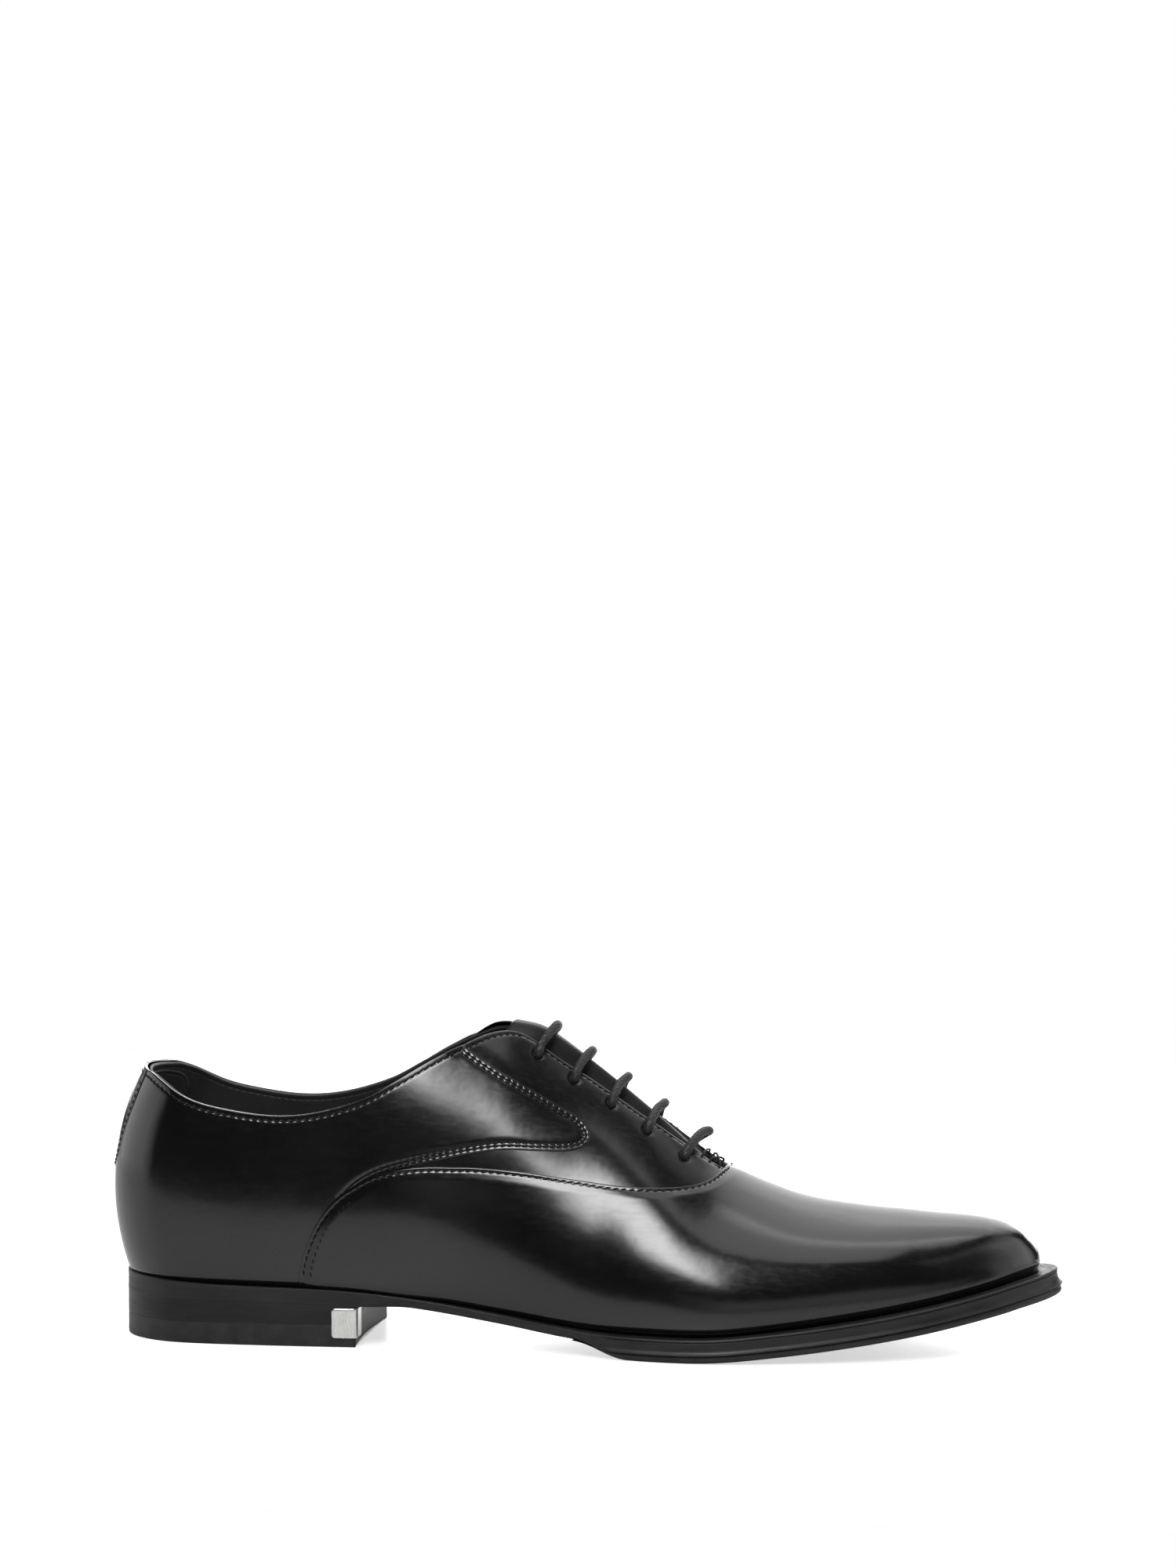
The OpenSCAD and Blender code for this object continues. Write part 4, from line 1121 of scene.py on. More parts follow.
for s, side in SIDES:
    for edge, d in ((VAMP_EDGE, 1.2), (VAMP_EDGE[:7], 3.6)):
        rows.append(seam_row(edge, s, d, 2.5, on(vamp_base, T_LEATHER - skived(d, SKIVE)), s, first=2))
put(threads("vamp_stitches", rows, THREAD), "forefoot", bend=True)

# toe puff between vamp and lining
t = np.linspace(0, 1, 60)[:, None]
j = np.linspace(-1, 1, 91)[None, :]
puff_q = 12.8 + (16.97 - 12.8) * t + 0 * j
puff_v = 1 - 0.93 * np.abs(j) + 0 * t
puff_s = np.where(j < 0, -1, 1) + 0 * t
puff = skin(puff_q, puff_v, puff_s, -1.25 + 0 * t + 0 * j)
puff = to_dome(puff.reshape(-1, 3), 1.4).reshape(puff.shape)

# back strap over the back seam
STRAP = [[0, 0.37], [0.35, 0.374], [0.62, 0.388], [0.8, 0.412], [0.93, 0.45], [1.0, 0.485], [1.08, 0.53],
         [1.13, 0.6], [1.12, 0.66], [1.08, 0.7025]]


def strap_base(q, v):
    return 0.55 + 0 * q


halves, weld_ids = [], []
for s, side in SIDES:
    st = curve(STRAP)
    qv_top = np.stack([np.linspace(1.08, 0, 24),
                       np.interp(np.linspace(1.08, 0, 24), [0, 0.5, 1.08], [0.712, 0.709, 0.7025])], -1)
    down = line((0, 0.712), (0, 0.37), 40)
    edges = [Edge(st, "cut", [(1.0, 2.2)]), Edge(qv_top, "fold", [(1.7, 2.4)]),
             Edge(down, "weld", given=True)]
    n_edge = (len(evenly(st, s, 0.55)[0]) - 1
              + len(evenly(qv_top, s, 0.55)[0]) - 1)
    halves.append(panel_half(s, edges, strap_base, 0.6, 0.3, STEP))
    weld_ids.append(np.arange(n_edge, n_edge + len(down)))
part = joined(halves)
put(mesh_object("back_strap_skin", part[0], part[1], LEATHER, part[2]), "rearfoot",
    ["back_strap"])
hs = on(strap_base, 0.6)
rows = [seam_row(STRAP, s, 1.0, 2.2, hs, -s) for s, _ in SIDES]
put(threads("back_strap_stitches", rows, THREAD), "rearfoot")


# linings
def lining_base(q, v):
    return -1.1 + 0 * q


for s, side in SIDES:
    collar = curve(TOPLINE + FACING_TOP[2:])
    ff = curve(FACING_FRONT)
    edges = [Edge(line((0, 0), (0, 0.712), 30), "weld", given=True), Edge(collar, "fold", [(1.6, 2.4)]),
             Edge(ff, "fold"), Edge(curve([ff[-1], (10.3, 0.6), (10.3, 0.0)]), "hidden"),
             Edge(line((10.3, 0), (0, 0), 60), "hidden")]
    part = panel_half(s, edges, lining_base, 0.95, 0.4, STEP * 1.25, sign=-1)
    ob = mesh_object("quarter_lining_" + side + "_skin", part[0], part[1], LINING, part[2])
    put(ob, "rearfoot", ["quarter_lining_" + side], bend=True)

halves, weld_ids = [], []
vq = np.linspace(10.1, 17, 60)
lridge = np.stack([vq, np.ones_like(vq)], -1)
for s, side in SIDES:
    edges = [Edge(curve([(9.6, 0.0), (9.7, 0.5), (10.1, 1.0)]), "cut"), Edge(lridge, "weld", given=True),
             Edge(toe_line, "weld", given=True), Edge(line((17, 0), (9.6, 0), 60), "hidden")]
    halves.append(panel_half(s, edges, lambda q, v: -2.1 + 0 * q, 0.6, 0.3, 3.0, sign=-1))
part = joined(halves)
put(mesh_object("vamp_lining_skin", part[0], part[1], LINING, part[2]), "forefoot",
    ["vamp_lining"], bend=True)

# heel grip
halves = []
for s, side in SIDES:
    edges = [Edge(line((0, 0.03), (0, 0.69), 30), "weld", given=True),
             Edge(curve([(0, 0.69), (0.8, 0.685), (1.5, 0.665), (1.85, 0.62), (1.9, 0.55)]), "cut",
                  [(1.2, 2.4)]),
             Edge(curve([(1.9, 0.55), (1.9, 0.3), (1.9, 0.03)]), "cut", [(1.2, 2.4)]),
             Edge(line((1.9, 0.03), (0, 0.03), 14), "hidden")]
    halves.append(panel_half(s, edges, lambda q, v: -2.05 + 0 * q, 0.6, 0.3, STEP * 1.25, sign=-1))
part = joined(halves)
put(mesh_object("heel_grip_skin", part[0], part[1], LINING, part[2]), "rearfoot",
    ["heel_grip"])


def soft_sheet(name, mid, nrm, up, down, material, soft=3.0):
    """Closed sheet with rounded edges round a grid of points."""
    n, m = mid.shape[:2]
    di = np.concatenate([[0], np.cumsum(np.linalg.norm(np.diff(mid[:, m // 2], axis=0), axis=1))])
    dj = np.concatenate([[0], np.cumsum(np.linalg.norm(np.diff(mid[n // 2], axis=0), axis=1))])
    d = np.minimum(np.minimum(di, di[-1] - di)[:, None], np.minimum(dj, dj[-1] - dj)[None, :])
    x = np.clip(1 - d / soft, 0, 1)
    f = np.sqrt(1 - x * x)[..., None]
    a, b = mid + nrm * up * f, mid - nrm * down * f
    faces = []
    for i in range(n - 1):
        for j in range(m - 1):
            q4 = (i * m + j, (i + 1) * m + j, (i + 1) * m + j + 1, i * m + j + 1)
            faces.append(q4)
            faces.append(tuple(n * m + k for k in q4[::-1]))
    c = np.vstack([a.reshape(-1, 3), b.reshape(-1, 3)])
    co, faces, _ = joined([(c, faces, np.ones_like(c))])
    return mesh_object(name, co, faces, material, area_normals(co, faces))


nrm = np.cross(np.gradient(puff, axis=0), np.gradient(puff, axis=1))
nrm = unit(nrm * np.sign((nrm[..., 2]).mean()))
put(soft_sheet("toe_puff_skin", puff, nrm, 0.3, 0.3, HIDDEN["stiffener_board"], 0.6),
    "forefoot",
    ["toe_puff"], bend=True)

# tongue: crowned between the facings, its top standing free behind them
TONGUE_TOP = [[0.70, 6.72], [0.78, 6.66], [0.84, 6.72], [0.90, 6.88], [0.95, 7.0], [1.0, 7.04]]
CREST_Q = 7.5       # station of the ridge's highest place
CREST_TOP = 2.2
CREST_DROP = 7.8    # how steeply it falls to the free edge
CREST_SLOPE = 2.3   # and to the throat, per station
CREST_ROUND = 0.3


def crest(q):
    """Height of the tongue's ridge: a hump, steep to the free edge and sloping off to the throat."""
    d = q - CREST_Q
    return CREST_TOP - np.where(d < 0, CREST_DROP * d ** 2,
                                CREST_SLOPE * (np.hypot(d, CREST_ROUND) - CREST_ROUND))


def tongue_grid(n, m):
    """Rows from the free top edge to the throat, columns from the outer side over the ridge."""
    t = np.linspace(0, 1, n)[:, None]
    j = np.linspace(-1, 1, m)[None, :]
    f = np.abs(j)
    v = 1 + (0.72 + (0.66 - 0.72) * t - 1) * f
    top = curve(TONGUE_TOP)
    q0 = np.interp(v, top[:, 0], top[:, 1])
    q = q0 + (9.95 - q0) * t
    s = np.where(j < 0, -1, 1) + 0 * q
    h = -5.6 + (crest(q) + 5.6) * ease((v - 0.865) / 0.125)
    h = h - 1.5 * (1 - ease(t / 0.13)) * ease((v - 0.88) / 0.1)
    return base(q, v, s) + h[..., None] * outward(q, v, s)


def grid_normals(p):
    a, b = np.gradient(p, axis=0), np.gradient(p, axis=1)
    return unit(np.cross(b, a))


gt = tongue_grid(110, 121)
gn = grid_normals(gt)
if gn[..., 2].mean() < 0:
    gn = -gn


def put_tongue(ob, nodes):
    if nodes:
        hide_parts(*nodes)
    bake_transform(ob)


ob = soft_sheet("tongue_skin", gt, gn, 0.55, 0.45, DULL, 0.7)
put_tongue(ob, ["tongue"])
ob = soft_sheet("tongue_lining_skin", gt[1:-1, 1:-1] - 1.05 * gn[1:-1, 1:-1], gn[1:-1, 1:-1], 0.5, 0.7,
                LINING, 1.2)
put_tongue(ob, ["tongue_lining"])


# ---------------------------------------------------------------------------------------------
# Lace

def hole(k, s, off, shift=0.0):
    return [EYELETS[k][0], EYELETS[k][1] + shift, s, off]


BAR_LIFT = [1.5, 0.6, 0.1, 0.0, 0.0]


def bar(k, s):
    """Over the front at one pair of holes; the crown of the bar lies towards the inner side."""
    q = EYELETS[k][0]
    up = BAR_LIFT[k]
    near = [hole(k, -1, -0.9), hole(k, -1, 0.9, 0.004), hole(k, -1, 2.3, 0.03),
            [q + 0.03, 0.925, -1, 3.2 + up * 0.6],
            [q + 0.07, 0.99, -1, 4.2 + up]]
    far = [[q + 0.05, 0.94, 1, 3.6 + up * 0.8], hole(k, 1, 2.5, 0.035), hole(k, 1, 0.9, 0.004),
           hole(k, 1, -0.9)]
    if k == len(EYELETS) - 1:
        near = [hole(k, -1, -0.9), hole(k, -1, 0.9, 0.002), [9.49, 0.85, -1, 2.9], [9.52, 0.91, -1, 4.4],
                [9.56, 0.97, -1, 5.3]]
        far = [[9.6, 0.985, 1, 5.6], [9.58, 0.93, 1, 4.7], [9.53, 0.875, 1, 3.0], hole(k, 1, 1.3, 0.01),
               hole(k, 1, 0.5, 0.002), hole(k, 1, -0.9)]
    return near + far if s < 0 else (near + far)[::-1]


def run(a, b, s, shift):
    pa, pb = EYELETS[a], EYELETS[b]
    mid = [[pa[0] + (pb[0] - pa[0]) * t, pa[1] + (pb[1] - pa[1]) * t + shift, s, -4.4]
           for t in (0.3, 0.5, 0.7)]
    return ([hole(a, s, -3.2), [pa[0] * 0.9 + pb[0] * 0.1, pa[1] + shift / 2, s, -4.4]] + mid
            + [[pa[0] * 0.1 + pb[0] * 0.9, pb[1] + shift / 2, s, -4.4], hole(b, s, -3.2)])


def tail(k, s):
    q, v = EYELETS[k]
    return [hole(k, s, -3.2), [q + 0.02, v - 0.035, s, -4.4], [q + 0.05, v - 0.09, s, -4.4],
            [q + 0.05, 0.69, s, -4.4], [q - 0.02, 0.62, s, -4.6], [q - 0.15, 0.55, s, -4.9],
            [q - 0.35, 0.48, s, -5.2], [q - 0.5, 0.41, s, -5.4], [q - 0.65, 0.33, s, -5.4]]


route = (tail(1, -1)[::-1] + bar(1, -1) + run(1, 3, 1, 0.045) + bar(3, 1) + run(3, 4, -1, 0) + bar(4, -1)
         + run(4, 2, 1, -0.045) + bar(2, 1) + run(2, 0, -1, 0.045) + bar(0, -1) + tail(0, 1))
route = np.array(route)
lace_pts = skin(route[:, 0], route[:, 1], route[:, 2], route[:, 3])
ob = tube("lace_cord", lace_pts, 1.44, COTTON, sides=56, braid=0.2)
put(ob, "rearfoot", ["lace"], bend=True)


# ---------------------------------------------------------------------------------------------
# Sole

LEDGE = np.array([[0, 0, 0], [6, 0, 0], [7, 0.1, 0], [8, 0.45, 0], [9, 0.9, 0.45], [10, 1, 0.9], [11, 1, 1],
                  [15, 1, 1], [17, 1.15, 1.15]])


def ledge(q, s):
    return 1.8 + 2.8 * np.interp(q, LEDGE[:, 0], LEDGE[:, 1 if s < 0 else 2])


def plan(q, s, d):
    """Places d outside the sole seam, at the height of the seam there."""
    q = np.asarray(q, float)
    p = base(q, 0 * q, s + 0 * q)
    t = base(q + 0.02, 0 * q, s + 0 * q) - base(q - 0.02, 0 * q, s + 0 * q)
    u = unit(np.stack([t[:, 1], -t[:, 0]], -1) if s < 0 else np.stack([-t[:, 1], t[:, 0]], -1))
    xy = p[:, :2] + np.asarray(d)[..., None] * u
    return np.column_stack([xy, seam_at(xy[:, 0])])


def lower(p, dz):
    """Moves places down by dz, square to the sole where it rises at the toe."""
    m = np.interp(p[:, 0], [60, 110, 150], [0, 0.2, 0.36])
    return np.column_stack([p[:, 0] - m * dz, p[:, 1], p[:, 2] + dz])


def around(q0, q1, n):
    """Stations from q0 on the outer side round the toe to q0 on the inner side, evenly in space."""
    q = np.linspace(q0, q1, 2000)
    p = base(q, 0 * q, -1 + 0 * q)
    a = np.concatenate([[0], np.cumsum(np.linalg.norm(np.diff(p, axis=0), axis=1))])
    return np.interp(np.linspace(0, a[-1], n), a, q)


def profile_line(pts, n):
    """Smooth profile through unevenly spaced control points, n samples a span, without overshoot."""
    p = np.array(pts, float)
    p = np.vstack([2 * p[0] - p[1], p, 2 * p[-1] - p[-2]])
    knot = np.concatenate([[0], np.cumsum(np.sqrt(
        np.maximum(np.linalg.norm(np.diff(p, axis=0), axis=1), 1e-9)))])
    out = []
    for i in range(1, len(p) - 2):
        k0, k1, k2, k3 = knot[i - 1:i + 3]
        t = (k1 + (k2 - k1) * np.arange(n) / n)[:, None]
        a1 = (k1 - t) / (k1 - k0) * p[i - 1] + (t - k0) / (k1 - k0) * p[i]
        a2 = (k2 - t) / (k2 - k1) * p[i] + (t - k1) / (k2 - k1) * p[i + 1]
        a3 = (k3 - t) / (k3 - k2) * p[i + 1] + (t - k2) / (k3 - k2) * p[i + 2]
        b1 = (k2 - t) / (k2 - k0) * a1 + (t - k0) / (k2 - k0) * a2
        b2 = (k3 - t) / (k3 - k1) * a2 + (t - k1) / (k3 - k1) * a3
        out.append((k2 - t) / (k2 - k1) * b1 + (t - k1) / (k2 - k1) * b2)
    return np.vstack(out + [p[-2:-1]])


def forepart(q, s):
    return ease((q - (7.9 if s < 0 else 8.3)) / 0.8)


def section_ring(name, qs, prof, material, arch, cols=9):
    """Closed sole layer: each station is the outer profile, the underside and the inner profile."""
    rows = []
    for q in qs:
        po, pi = prof(q, -1), prof(q, 1)
        qa = np.full(len(po), q)
        a, b = plan(qa, -1, po[:, 0]), plan(qa, 1, pi[:, 0])
        a, b = lower(a, po[:, 1]), lower(b, pi[:, 1])
        t = (np.arange(1, cols + 1) / (cols + 1))[:, None]
        under = a[-1] * (1 - t) + b[-1] * t
        under[:, 2:] -= arch(q) * (1 - (2 * t - 1) ** 2)
        rows.append(np.vstack([a, under, b[::-1]]))
    return grid_object(name, np.array(rows), material, close_cols=True)


def blend_rows(w, a, b):
    a, b = np.array(a, float), np.array(b, float)
    return a + (b - a) * w


N_PROF = 7


def welt_profile(q, s):
    e = ledge(q, s) - 0.35 * (1 - forepart(q, s))
    pts = [(-3.0, 0.05), (-0.4, 0.0), (0.7, -0.06), (1.15, -0.22), (1.6, -0.08), (e - 1.1, -0.08),
           (e - 0.45, -0.12), (e - 0.08, -0.36), (e + 0.02, -0.62), (e - 0.12, -0.9), (e - 0.5, -1.06),
           (-3.0, -1.06)]
    return profile_line(pts, N_PROF)


def midsole_profile(q, s):
    e = ledge(q, s)
    w = e + 0.25
    waist = [(-4, 0.2), (0.3, 0.2), (w - 0.55, 0.16), (w - 0.08, -0.1), (w, -0.5), (w - 0.1, -1.0),
             (w - 0.5, -1.5), (w - 1.5, -2.2), (w - 3.2, -3.1), (w - 5.5, -3.75), (-9, -4.05)]
    front_ = [(-4, -1.1), (0.3, -1.1), (e - 0.5, -1.1), (e - 0.3, -1.3), (e - 0.52, -1.9), (e - 0.68, -2.9),
              (e - 0.6, -3.9), (e - 0.28, -4.6), (e + 0.04, -4.95), (e - 0.12, -5.25), (-9, -5.3)]
    w = e + 0.35
    up = 1.8 * (1 - ease((q - 0.8) / 3.2))
    seat = [(-4, up - 0.4), (0.3, up + 0.12), (w - 0.25, up + 0.14), (w + 0.04, up - 0.02),
            (w + 0.02, up - 0.35),
            (w - 0.05, up * 0.5 - 0.9), (w - 0.05, -1.8), (w - 0.05, -3.0), (w - 0.05, -4.45),
            (w - 0.4, -4.46), (-9, -4.46)]
    p = blend_rows(forepart(q, s), waist, front_)
    return profile_line(blend_rows(1 - ease((q - 5.12) / 0.75), p, seat), N_PROF)


def outsole_profile(q, s):
    full = ease((q - (8.0 if s < 0 else 8.45)) / 0.85)
    e = ledge(q, s) - 0.85 - 1.2 * (1 - full)
    h = 2.55 * full + 0.02
    z = -5.3 + 1.6 * (1 - full)
    pts = [(-6, z + 0.1), (e - 0.5, z + 0.05), (e - 0.12, z - 0.12 * h), (e, z - 0.4 * h),
           (e - 0.12, z - 0.66 * h),
           (e - 0.6, z - 0.88 * h), (e - 1.5, z - 0.985 * h), (e - 3.0, z - h), (-9, z - h)]
    return profile_line(pts, N_PROF)


nq = 260
q_welt = np.concatenate([around(7.7, 17, nq)])
ob = section_ring("welt_edge", q_welt, welt_profile, EDGE, lambda q: 0.0)
put(ob, "forefoot", ["welt"], bend=True)
q_mid = around(0.02, 17, int(nq * 1.5))
ob = section_ring("midsole_edge", q_mid, midsole_profile, EDGE,
                  lambda q: 1.6 * ease((q - 5.4) / 1.2) * (1 - ease((q - 7.6) / 1.2)))
put(ob, "forefoot", ["midsole"], bend=True)
q_out = around(8.0, 17, nq)
ob = section_ring("outsole_edge", q_out, outsole_profile, RUBBER, lambda q: 0.25 * ease((q - 8.6) / 1))
put(ob, "forefoot", ["outsole_forepart"], bend=True)

# sock liner, dished up a little at its edges
qs = around(0.45, 16.6, 150)
rows = []
for q in qs:
    t = np.linspace(0, 1, 41)[:, None]
    qa = np.array([q])
    a, b = plan(qa, -1, np.array([-3.3])), plan(qa, 1, np.array([-3.3]))
    p = a * (1 - t) + b * t
    p[:, 2:] += 4.9 + 1.1 * np.abs(2 * t - 1) ** 5
    rows.append(p)
g = np.array(rows)
n = grid_normals(g)
n *= np.sign(n[..., 2].mean())
ob = soft_sheet("sock_liner_skin", g, n, 0.5, 0.35, LINING, 0.8)
put(ob, "forefoot", ["sock_liner"], bend=True)


# ---------------------------------------------------------------------------------------------
# Heel

BREAST_X = -71 + CENTRE_X


def heel_loop(n=150):
    """Outline of the heel seat, from the outer breast corner round the back, then the breast."""
    sides = []
    for s in (-1, 1):
        q = np.linspace(5.6, 0, 1500)
        p = plan(q, s, 2.1 + 0 * q)[:, :2]
        p = p[p[:, 0] <= BREAST_X]
        a = np.concatenate([[0], np.cumsum(np.linalg.norm(np.diff(p, axis=0), axis=1))])
        at = np.linspace(0, a[-1], n)
        sides.append(np.column_stack([np.interp(at, a, p[:, 0]), np.interp(at, a, p[:, 1])]))
    outer, inner = sides
    y0, y1 = inner[0, 1], outer[0, 1]
    t = np.linspace(0, 1, 40)[1:-1]
    breast = np.column_stack([BREAST_X - 1.6 * np.sin(math.pi * t) ** 0.8, y0 + (y1 - y0) * t])
    return np.vstack([outer, inner[::-1][1:], breast])


def inset_loop(loop, d):
    t = np.roll(loop, -1, axis=0) - np.roll(loop, 1, axis=0)
    t /= np.linalg.norm(t, axis=1, keepdims=True)
    nrm = np.stack([t[:, 1], -t[:, 0]], -1)
    c = loop.mean(0)
    if ((loop - c) * nrm).sum() < 0:
        nrm = -nrm
    return loop - d * nrm


HL = heel_loop()


def heel_piece(name, prof, material):
    """Slice of the heel: prof is (inset, height) from top to bottom."""
    pr = profile_line(prof, 3)
    g = np.array([np.column_stack([inset_loop(HL, d), np.full(len(HL), z)]) for d, z in pr])
    return grid_object(name, g, material, close_cols=True, caps=True)


def slice_profile(z1, z0, r, inset=0.0, low_r=None):
    lr = low_r or r
    return [(inset + r * 2.2, z1), (inset + r, z1), (inset + r * 0.3, z1 - r * 0.3), (inset, z1 - r),
            (inset, (z0 + z1) / 2),
            (inset, z0 + lr), (inset + lr * 0.3, z0 + lr * 0.3), (inset + lr, z0), (inset + lr * 2.2, z0)]


for name, node, prof, mat, slot in (
        ("heel_rand_edge", "heel_rand", slice_profile(14.6, 12.9, 0.025), HEEL, "sole_leather"),
        ("heel_lift_upper_edge", "heel_lift_upper", slice_profile(12.9, 10.0, 0.025), HEEL, "sole_leather"),
        ("heel_lift_lower_edge", "heel_lift_lower", slice_profile(10.0, 7.1, 0.025, 0.0, 0.07), HEEL,
         "sole_leather"),
        ("heel_top_piece_edge", "heel_top_piece", slice_profile(7.08, 0.0, 0.08, 0.03, 0.45), RUBBER,
         "sole_rubber")):
    put(heel_piece(name, prof, mat), "rearfoot", [node])


PLATE_W = 7.8


def corner_plate():
    """Plain bent metal plate on the outer breast corner, with rounded corners and eased edges."""
    side = HL[:60]
    a = np.concatenate([[0], np.cumsum(np.linalg.norm(np.diff(side, axis=0), axis=1))])
    at = np.linspace(PLATE_W, 0, 40)
    path = np.column_stack([np.interp(at, a, side[:, 0]), np.interp(at, a, side[:, 1])])
    corner = path[-1]
    br = np.array([[corner[0] - 0.15 * math.sin(math.pi * k / 30),
                    corner[1] + 7.0 * k / 30] for k in range(1, 31)])
    full = np.vstack([path, br])
    out = np.zeros_like(full)
    out[:40] = [0, -1]
    out[40:] = [1, 0]
    arc = np.concatenate([[0], np.cumsum(np.linalg.norm(np.diff(full, axis=0), axis=1))])
    total = arc[-1]
    z0, z1, r = 3.0, 12.6, 1.1

    def at_path(u, h):
        k = np.clip(u, 0, total)
        p = np.array([np.interp(k, arc, full[:, 0]), np.interp(k, arc, full[:, 1])])
        # turn round the corner with a small radius
        w = min(max((k - (PLATE_W - 0.6)) / 1.2, 0), 1)
        ang = w * math.pi / 2
        n = np.array([math.sin(ang), -math.cos(ang)])
        pull = 0.35 * math.sin(math.pi * w)
        return p + n * (h - pull)

    rows = []
    for (e, h) in ((0.0, -0.1), (0.0, 0.42), (0.06, 0.56), (0.2, 0.66), (0.42, 0.7), (1.0, 0.7)):
        ring = []
        zs0, zs1, us0, us1 = z0 + e, z1 - e, e, total - e
        rr = max(r - e, 0.25)
        n_side = 26
        for (cx, cz, a0) in ((us1 - rr, zs1 - rr, 0), (us0 + rr, zs1 - rr, 90), (us0 + rr, zs0 + rr, 180),
                             (us1 - rr, zs0 + rr, 270)):
            for k in range(9):
                ang = math.radians(a0 + 90 * k / 8)
                ring.append((cx + rr * math.cos(ang), cz + rr * math.sin(ang)))
            nxt = {0: (us0 + rr, zs1), 90: (us0, zs0 + rr), 180: (us1 - rr, zs0), 270: (us1, zs1 - rr)}[a0]
            last = ring[-1]
            for k in range(1, n_side):
                t = k / n_side
                ring.append((last[0] + (nxt[0] - last[0]) * t, last[1] + (nxt[1] - last[1]) * t))
        rows.append([(*at_path(u, h), z) for u, z in ring])
    g = np.array(rows)
    n, m = g.shape[:2]
    faces = []
    for i in range(n - 1):
        for j in range(m):
            faces.append((i * m + j, i * m + (j + 1) % m, (i + 1) * m + (j + 1) % m, (i + 1) * m + j))
    co = list(g.reshape(-1, 3))
    # face of the plate: strips across matching points of the upper and lower runs
    us = np.linspace(us0 + 0.0, us1 - 0.0, 70)
    start = len(co)
    for u in us:
        for k in range(2):
            d = max(rr - (u - us0), rr - (us1 - u), 0)
            cut = rr - math.sqrt(max(rr * rr - d * d, 0))
            z = (zs0 + cut) if k == 0 else (zs1 - cut)
            co.append(np.array([*at_path(u, 0.7), z]))
    for i in range(len(us) - 1):
        faces.append((start + 2 * i, start + 2 * i + 2, start + 2 * i + 3, start + 2 * i + 1))
    ob = mesh_object("heel_corner_plate_bent", np.array(co), faces, NICKEL)
    return ob


put(corner_plate(), "rearfoot", ["heel_corner_plate"])

# cross stitches that hold the foot of the throat
tack_rows = []
for k, (qa, qb, va, vb, up) in enumerate(((9.80, 9.92, 0.915, 0.915, 0.45),
                                          (9.93, 9.79, 0.915, 0.915, 0.75), (9.69, 9.72, 0.91, 0.91, 0.4))):
    pts = [skin([qa], [va - 0.02], [-1], [-0.6])[0], skin([qa], [va], [-1], [0.45])[0],
           skin([qa * 0.7 + qb * 0.3], [0.96], [-1], [up])[0],
           skin([qa * 0.3 + qb * 0.7], [0.96], [1], [up])[0], skin([qb], [vb], [1], [0.45])[0],
           skin([qb], [vb - 0.02], [1], [-0.6])[0]]
    tack_rows.append(tube("throat_tack_%d" % (k + 1), pts, 0.34, THREAD, sides=20, braid=0.05, step=0.12))
for k, ob in enumerate(tack_rows):
    put(ob, "rearfoot", ["throat_tack"], bend=True)

SLICE = 0.002


def bending_copy(name, node):
    """The node's own solid, sliced across the bend in thin strips."""
    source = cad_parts[node]
    bm = bmesh.new()
    bm.from_mesh(source.data)
    bm.transform(source.matrix_world)
    for x in np.arange(BEND[1][0] - 2 * SLICE, BEND[0][0] + 2 * SLICE, SLICE):
        bmesh.ops.bisect_plane(bm, geom=bm.verts[:] + bm.edges[:] + bm.faces[:], dist=1e-7,
                               plane_co=(x, 0, 0), plane_no=(1, 0, 0))
    me = bpy.data.meshes.new(name)
    bm.to_mesh(me)
    bm.free()
    me.polygons.foreach_set("use_smooth", [True] * len(me.polygons))
    me.set_sharp_from_angle(angle=math.radians(30))
    ob = bpy.data.objects.new(name, me)
    bpy.context.scene.collection.objects.link(ob)
    return ob


# the full-length board and the cork cross the bend, so they are sliced across it
for name, node, slot in (("insole_board_bending", "insole", "insole_board"),
                         ("cork_filler_bending", "cork_filler", "cork")):
    ob = bending_copy(name, node)
    ob.data.materials.append(HIDDEN[slot])
    put(ob, "forefoot", [node], bend=True)

# the other hidden layers keep their CAD shapes
SLOT_OF = {
    "toe_puff": "stiffener_board", "heel_counter": "stiffener_board", "cork_filler": "cork",
    "insole": "insole_board", "eyelet_stay_lateral": "stay_fabric", "eyelet_stay_medial": "stay_fabric",
    "shank": "spring_steel", "heel_nails": "nail_steel", "corner_plate_pins": "nickel",
    "lace_tips": "tip_plastic",
}
for name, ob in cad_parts.items():
    mat = HIDDEN[SLOT_OF.get(name, "upper_leather")]
    ob.data.materials.clear()
    ob.data.materials.append(mat)


# ---------------------------------------------------------------------------------------------
# Floor, lights and camera

def stage_material(name, colour, glow):
    m = Nodes(name)
    n = m.noise(0.02, 2)
    m.done(m.ramp(n, [(0.3, colour * 0.995), (0.7, colour)]), 0.35, spec=0.3)
    m.bsdf.inputs["Emission Color"].default_value = (1, 1, 1, 1)
    seen = m.t.nodes.new("ShaderNodeLightPath").outputs["Is Camera Ray"]
    m.t.links.new(m.math("MULTIPLY", seen, glow), m.bsdf.inputs["Emission Strength"])
    return m.mat


def studio_floor():
    """Pale floor round the shoe; it ends just outside the picture."""
    xs, ys = np.linspace(-0.8, 0.8, 13), np.linspace(-0.29, 0.8, 13)
    g = np.array([[(x * 1000, y * 1000, 0.0) for y in ys] for x in xs])
    grid_object("studio_floor", g, stage_material("studio_white", 0.6, 0.62))


studio_floor()


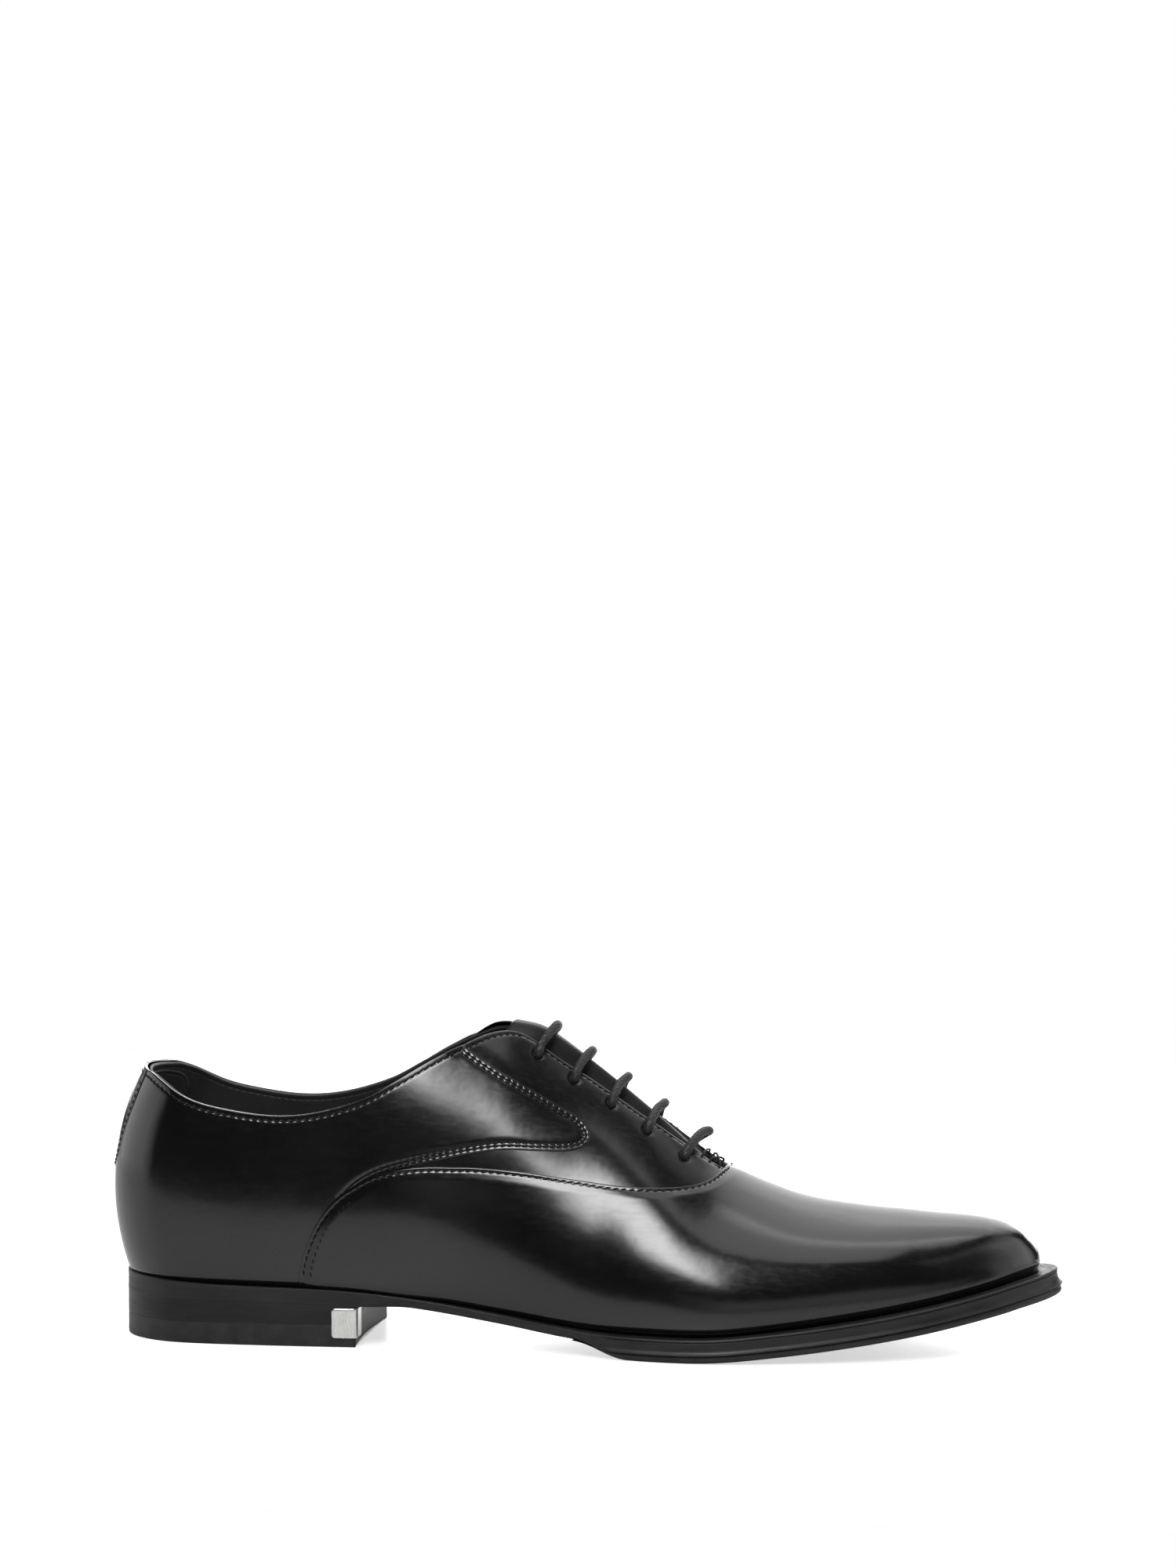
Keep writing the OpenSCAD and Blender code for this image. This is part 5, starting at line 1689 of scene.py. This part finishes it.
def area(name, loc, aim, size_x, size_y, power):
    li = bpy.data.lights.new(name, "AREA")
    li.shape = "RECTANGLE"
    li.size, li.size_y, li.energy = size_x, size_y, power
    ob = bpy.data.objects.new(name, li)
    ob.location = loc
    ob.rotation_euler = (Vector(aim) - Vector(loc)).to_track_quat("-Z", "Y").to_euler()
    bpy.context.collection.objects.link(ob)
    ob.visible_camera = False
    return ob


def radiant(name, loc, aim, size_x, size_y, radiance, **rays):
    """Soft light of a given brightness, whatever its size."""
    ob = area(name, loc, aim, size_x, size_y, radiance * math.pi * size_x * size_y)
    for k, v in rays.items():
        setattr(ob, "visible_" + k, v)
    return ob


AIM = (0.02, 0.0, 0.05)


def panel(name, az, el, wide, high, dist, radiance, soft=0.0, **rays):
    """Soft light in a given direction, wide by high degrees, fading out towards its edges."""
    a, e = math.radians(az), math.radians(el)
    shares = (1 - soft, 1, 1 + soft) if soft else (1,)
    for k, share in enumerate(shares):
        r = dist + 0.02 * k
        loc = (AIM[0] + r * math.cos(e) * math.cos(a), AIM[1] + r * math.cos(e) * math.sin(a),
               AIM[2] + r * math.sin(e))
        size_x = 2 * r * math.tan(math.radians(wide * share / 2)) * math.cos(e)
        size_y = 2 * r * math.tan(math.radians(high * share / 2))
        radiant("%s_%d" % (name, k + 1), loc, AIM, size_x, size_y, radiance / len(shares), **rays)


panel("key_softbox", -97, 45, 28, 30, 1.15, 13.0, 0.22)
panel("right_panel", 9, 22, 56, 60, 1.2, 1.2, 0.25)
panel("left_panel", 170, 7, 62, 24, 1.15, 1.05, 0.2)
panel("back_lower", 93, 26, 50, 40, 1.2, 1.7, 0.15)
panel("back_horizon", 95, 5, 60, 12, 1.25, 3.2)
panel("back_upper", 78, 60, 60, 34, 1.3, 1.4, 0.15)
panel("front_strip", -66, 3, 56, 12, 1.2, 0.5, 0.3)
radiant("ceiling_panel", (0.02, -0.02, 1.3), (0.02, -0.02, 0.0), 0.95, 0.9, 1.4)
radiant("overhead_fill", (0.0, 0.0, 1.7), (0.0, 0.0, 0.0), 1.5, 1.5, 1.8, glossy=False)

# the room is white to look at and dark in reflections
world = bpy.data.worlds.new("studio_room")
world.use_nodes = True
wt = world.node_tree
room = wt.nodes["Background"]
room.inputs[0].default_value = (0.02, 0.02, 0.02, 1)
white = wt.nodes.new("ShaderNodeBackground")
white.inputs[0].default_value = (1, 1, 1, 1)
path = wt.nodes.new("ShaderNodeLightPath")
either = wt.nodes.new("ShaderNodeMixShader")
wt.links.new(path.outputs["Is Camera Ray"], either.inputs[0])
wt.links.new(room.outputs[0], either.inputs[1])
wt.links.new(white.outputs[0], either.inputs[2])
wt.links.new(either.outputs[0], wt.nodes["World Output"].inputs[0])
bpy.context.scene.world = world

AZ, EL, DIST = math.radians(7.7), math.radians(3.4), 1.670
target = Vector((0.0027, 0.0, 0.180))
cam = bpy.data.cameras.new("camera")
cam.sensor_width = 36
cam.lens = 118.7
cam.clip_end = 20
cam_ob = bpy.data.objects.new("camera", cam)
offset = Vector((math.sin(AZ) * math.cos(EL), -math.cos(AZ) * math.cos(EL), math.sin(EL)))
cam_ob.location = target + DIST * offset
cam_ob.rotation_euler = (-offset).to_track_quat("-Z", "Y").to_euler()
bpy.context.collection.objects.link(cam_ob)
bpy.context.scene.camera = cam_ob
bpy.context.scene.view_settings.view_transform = "Standard"
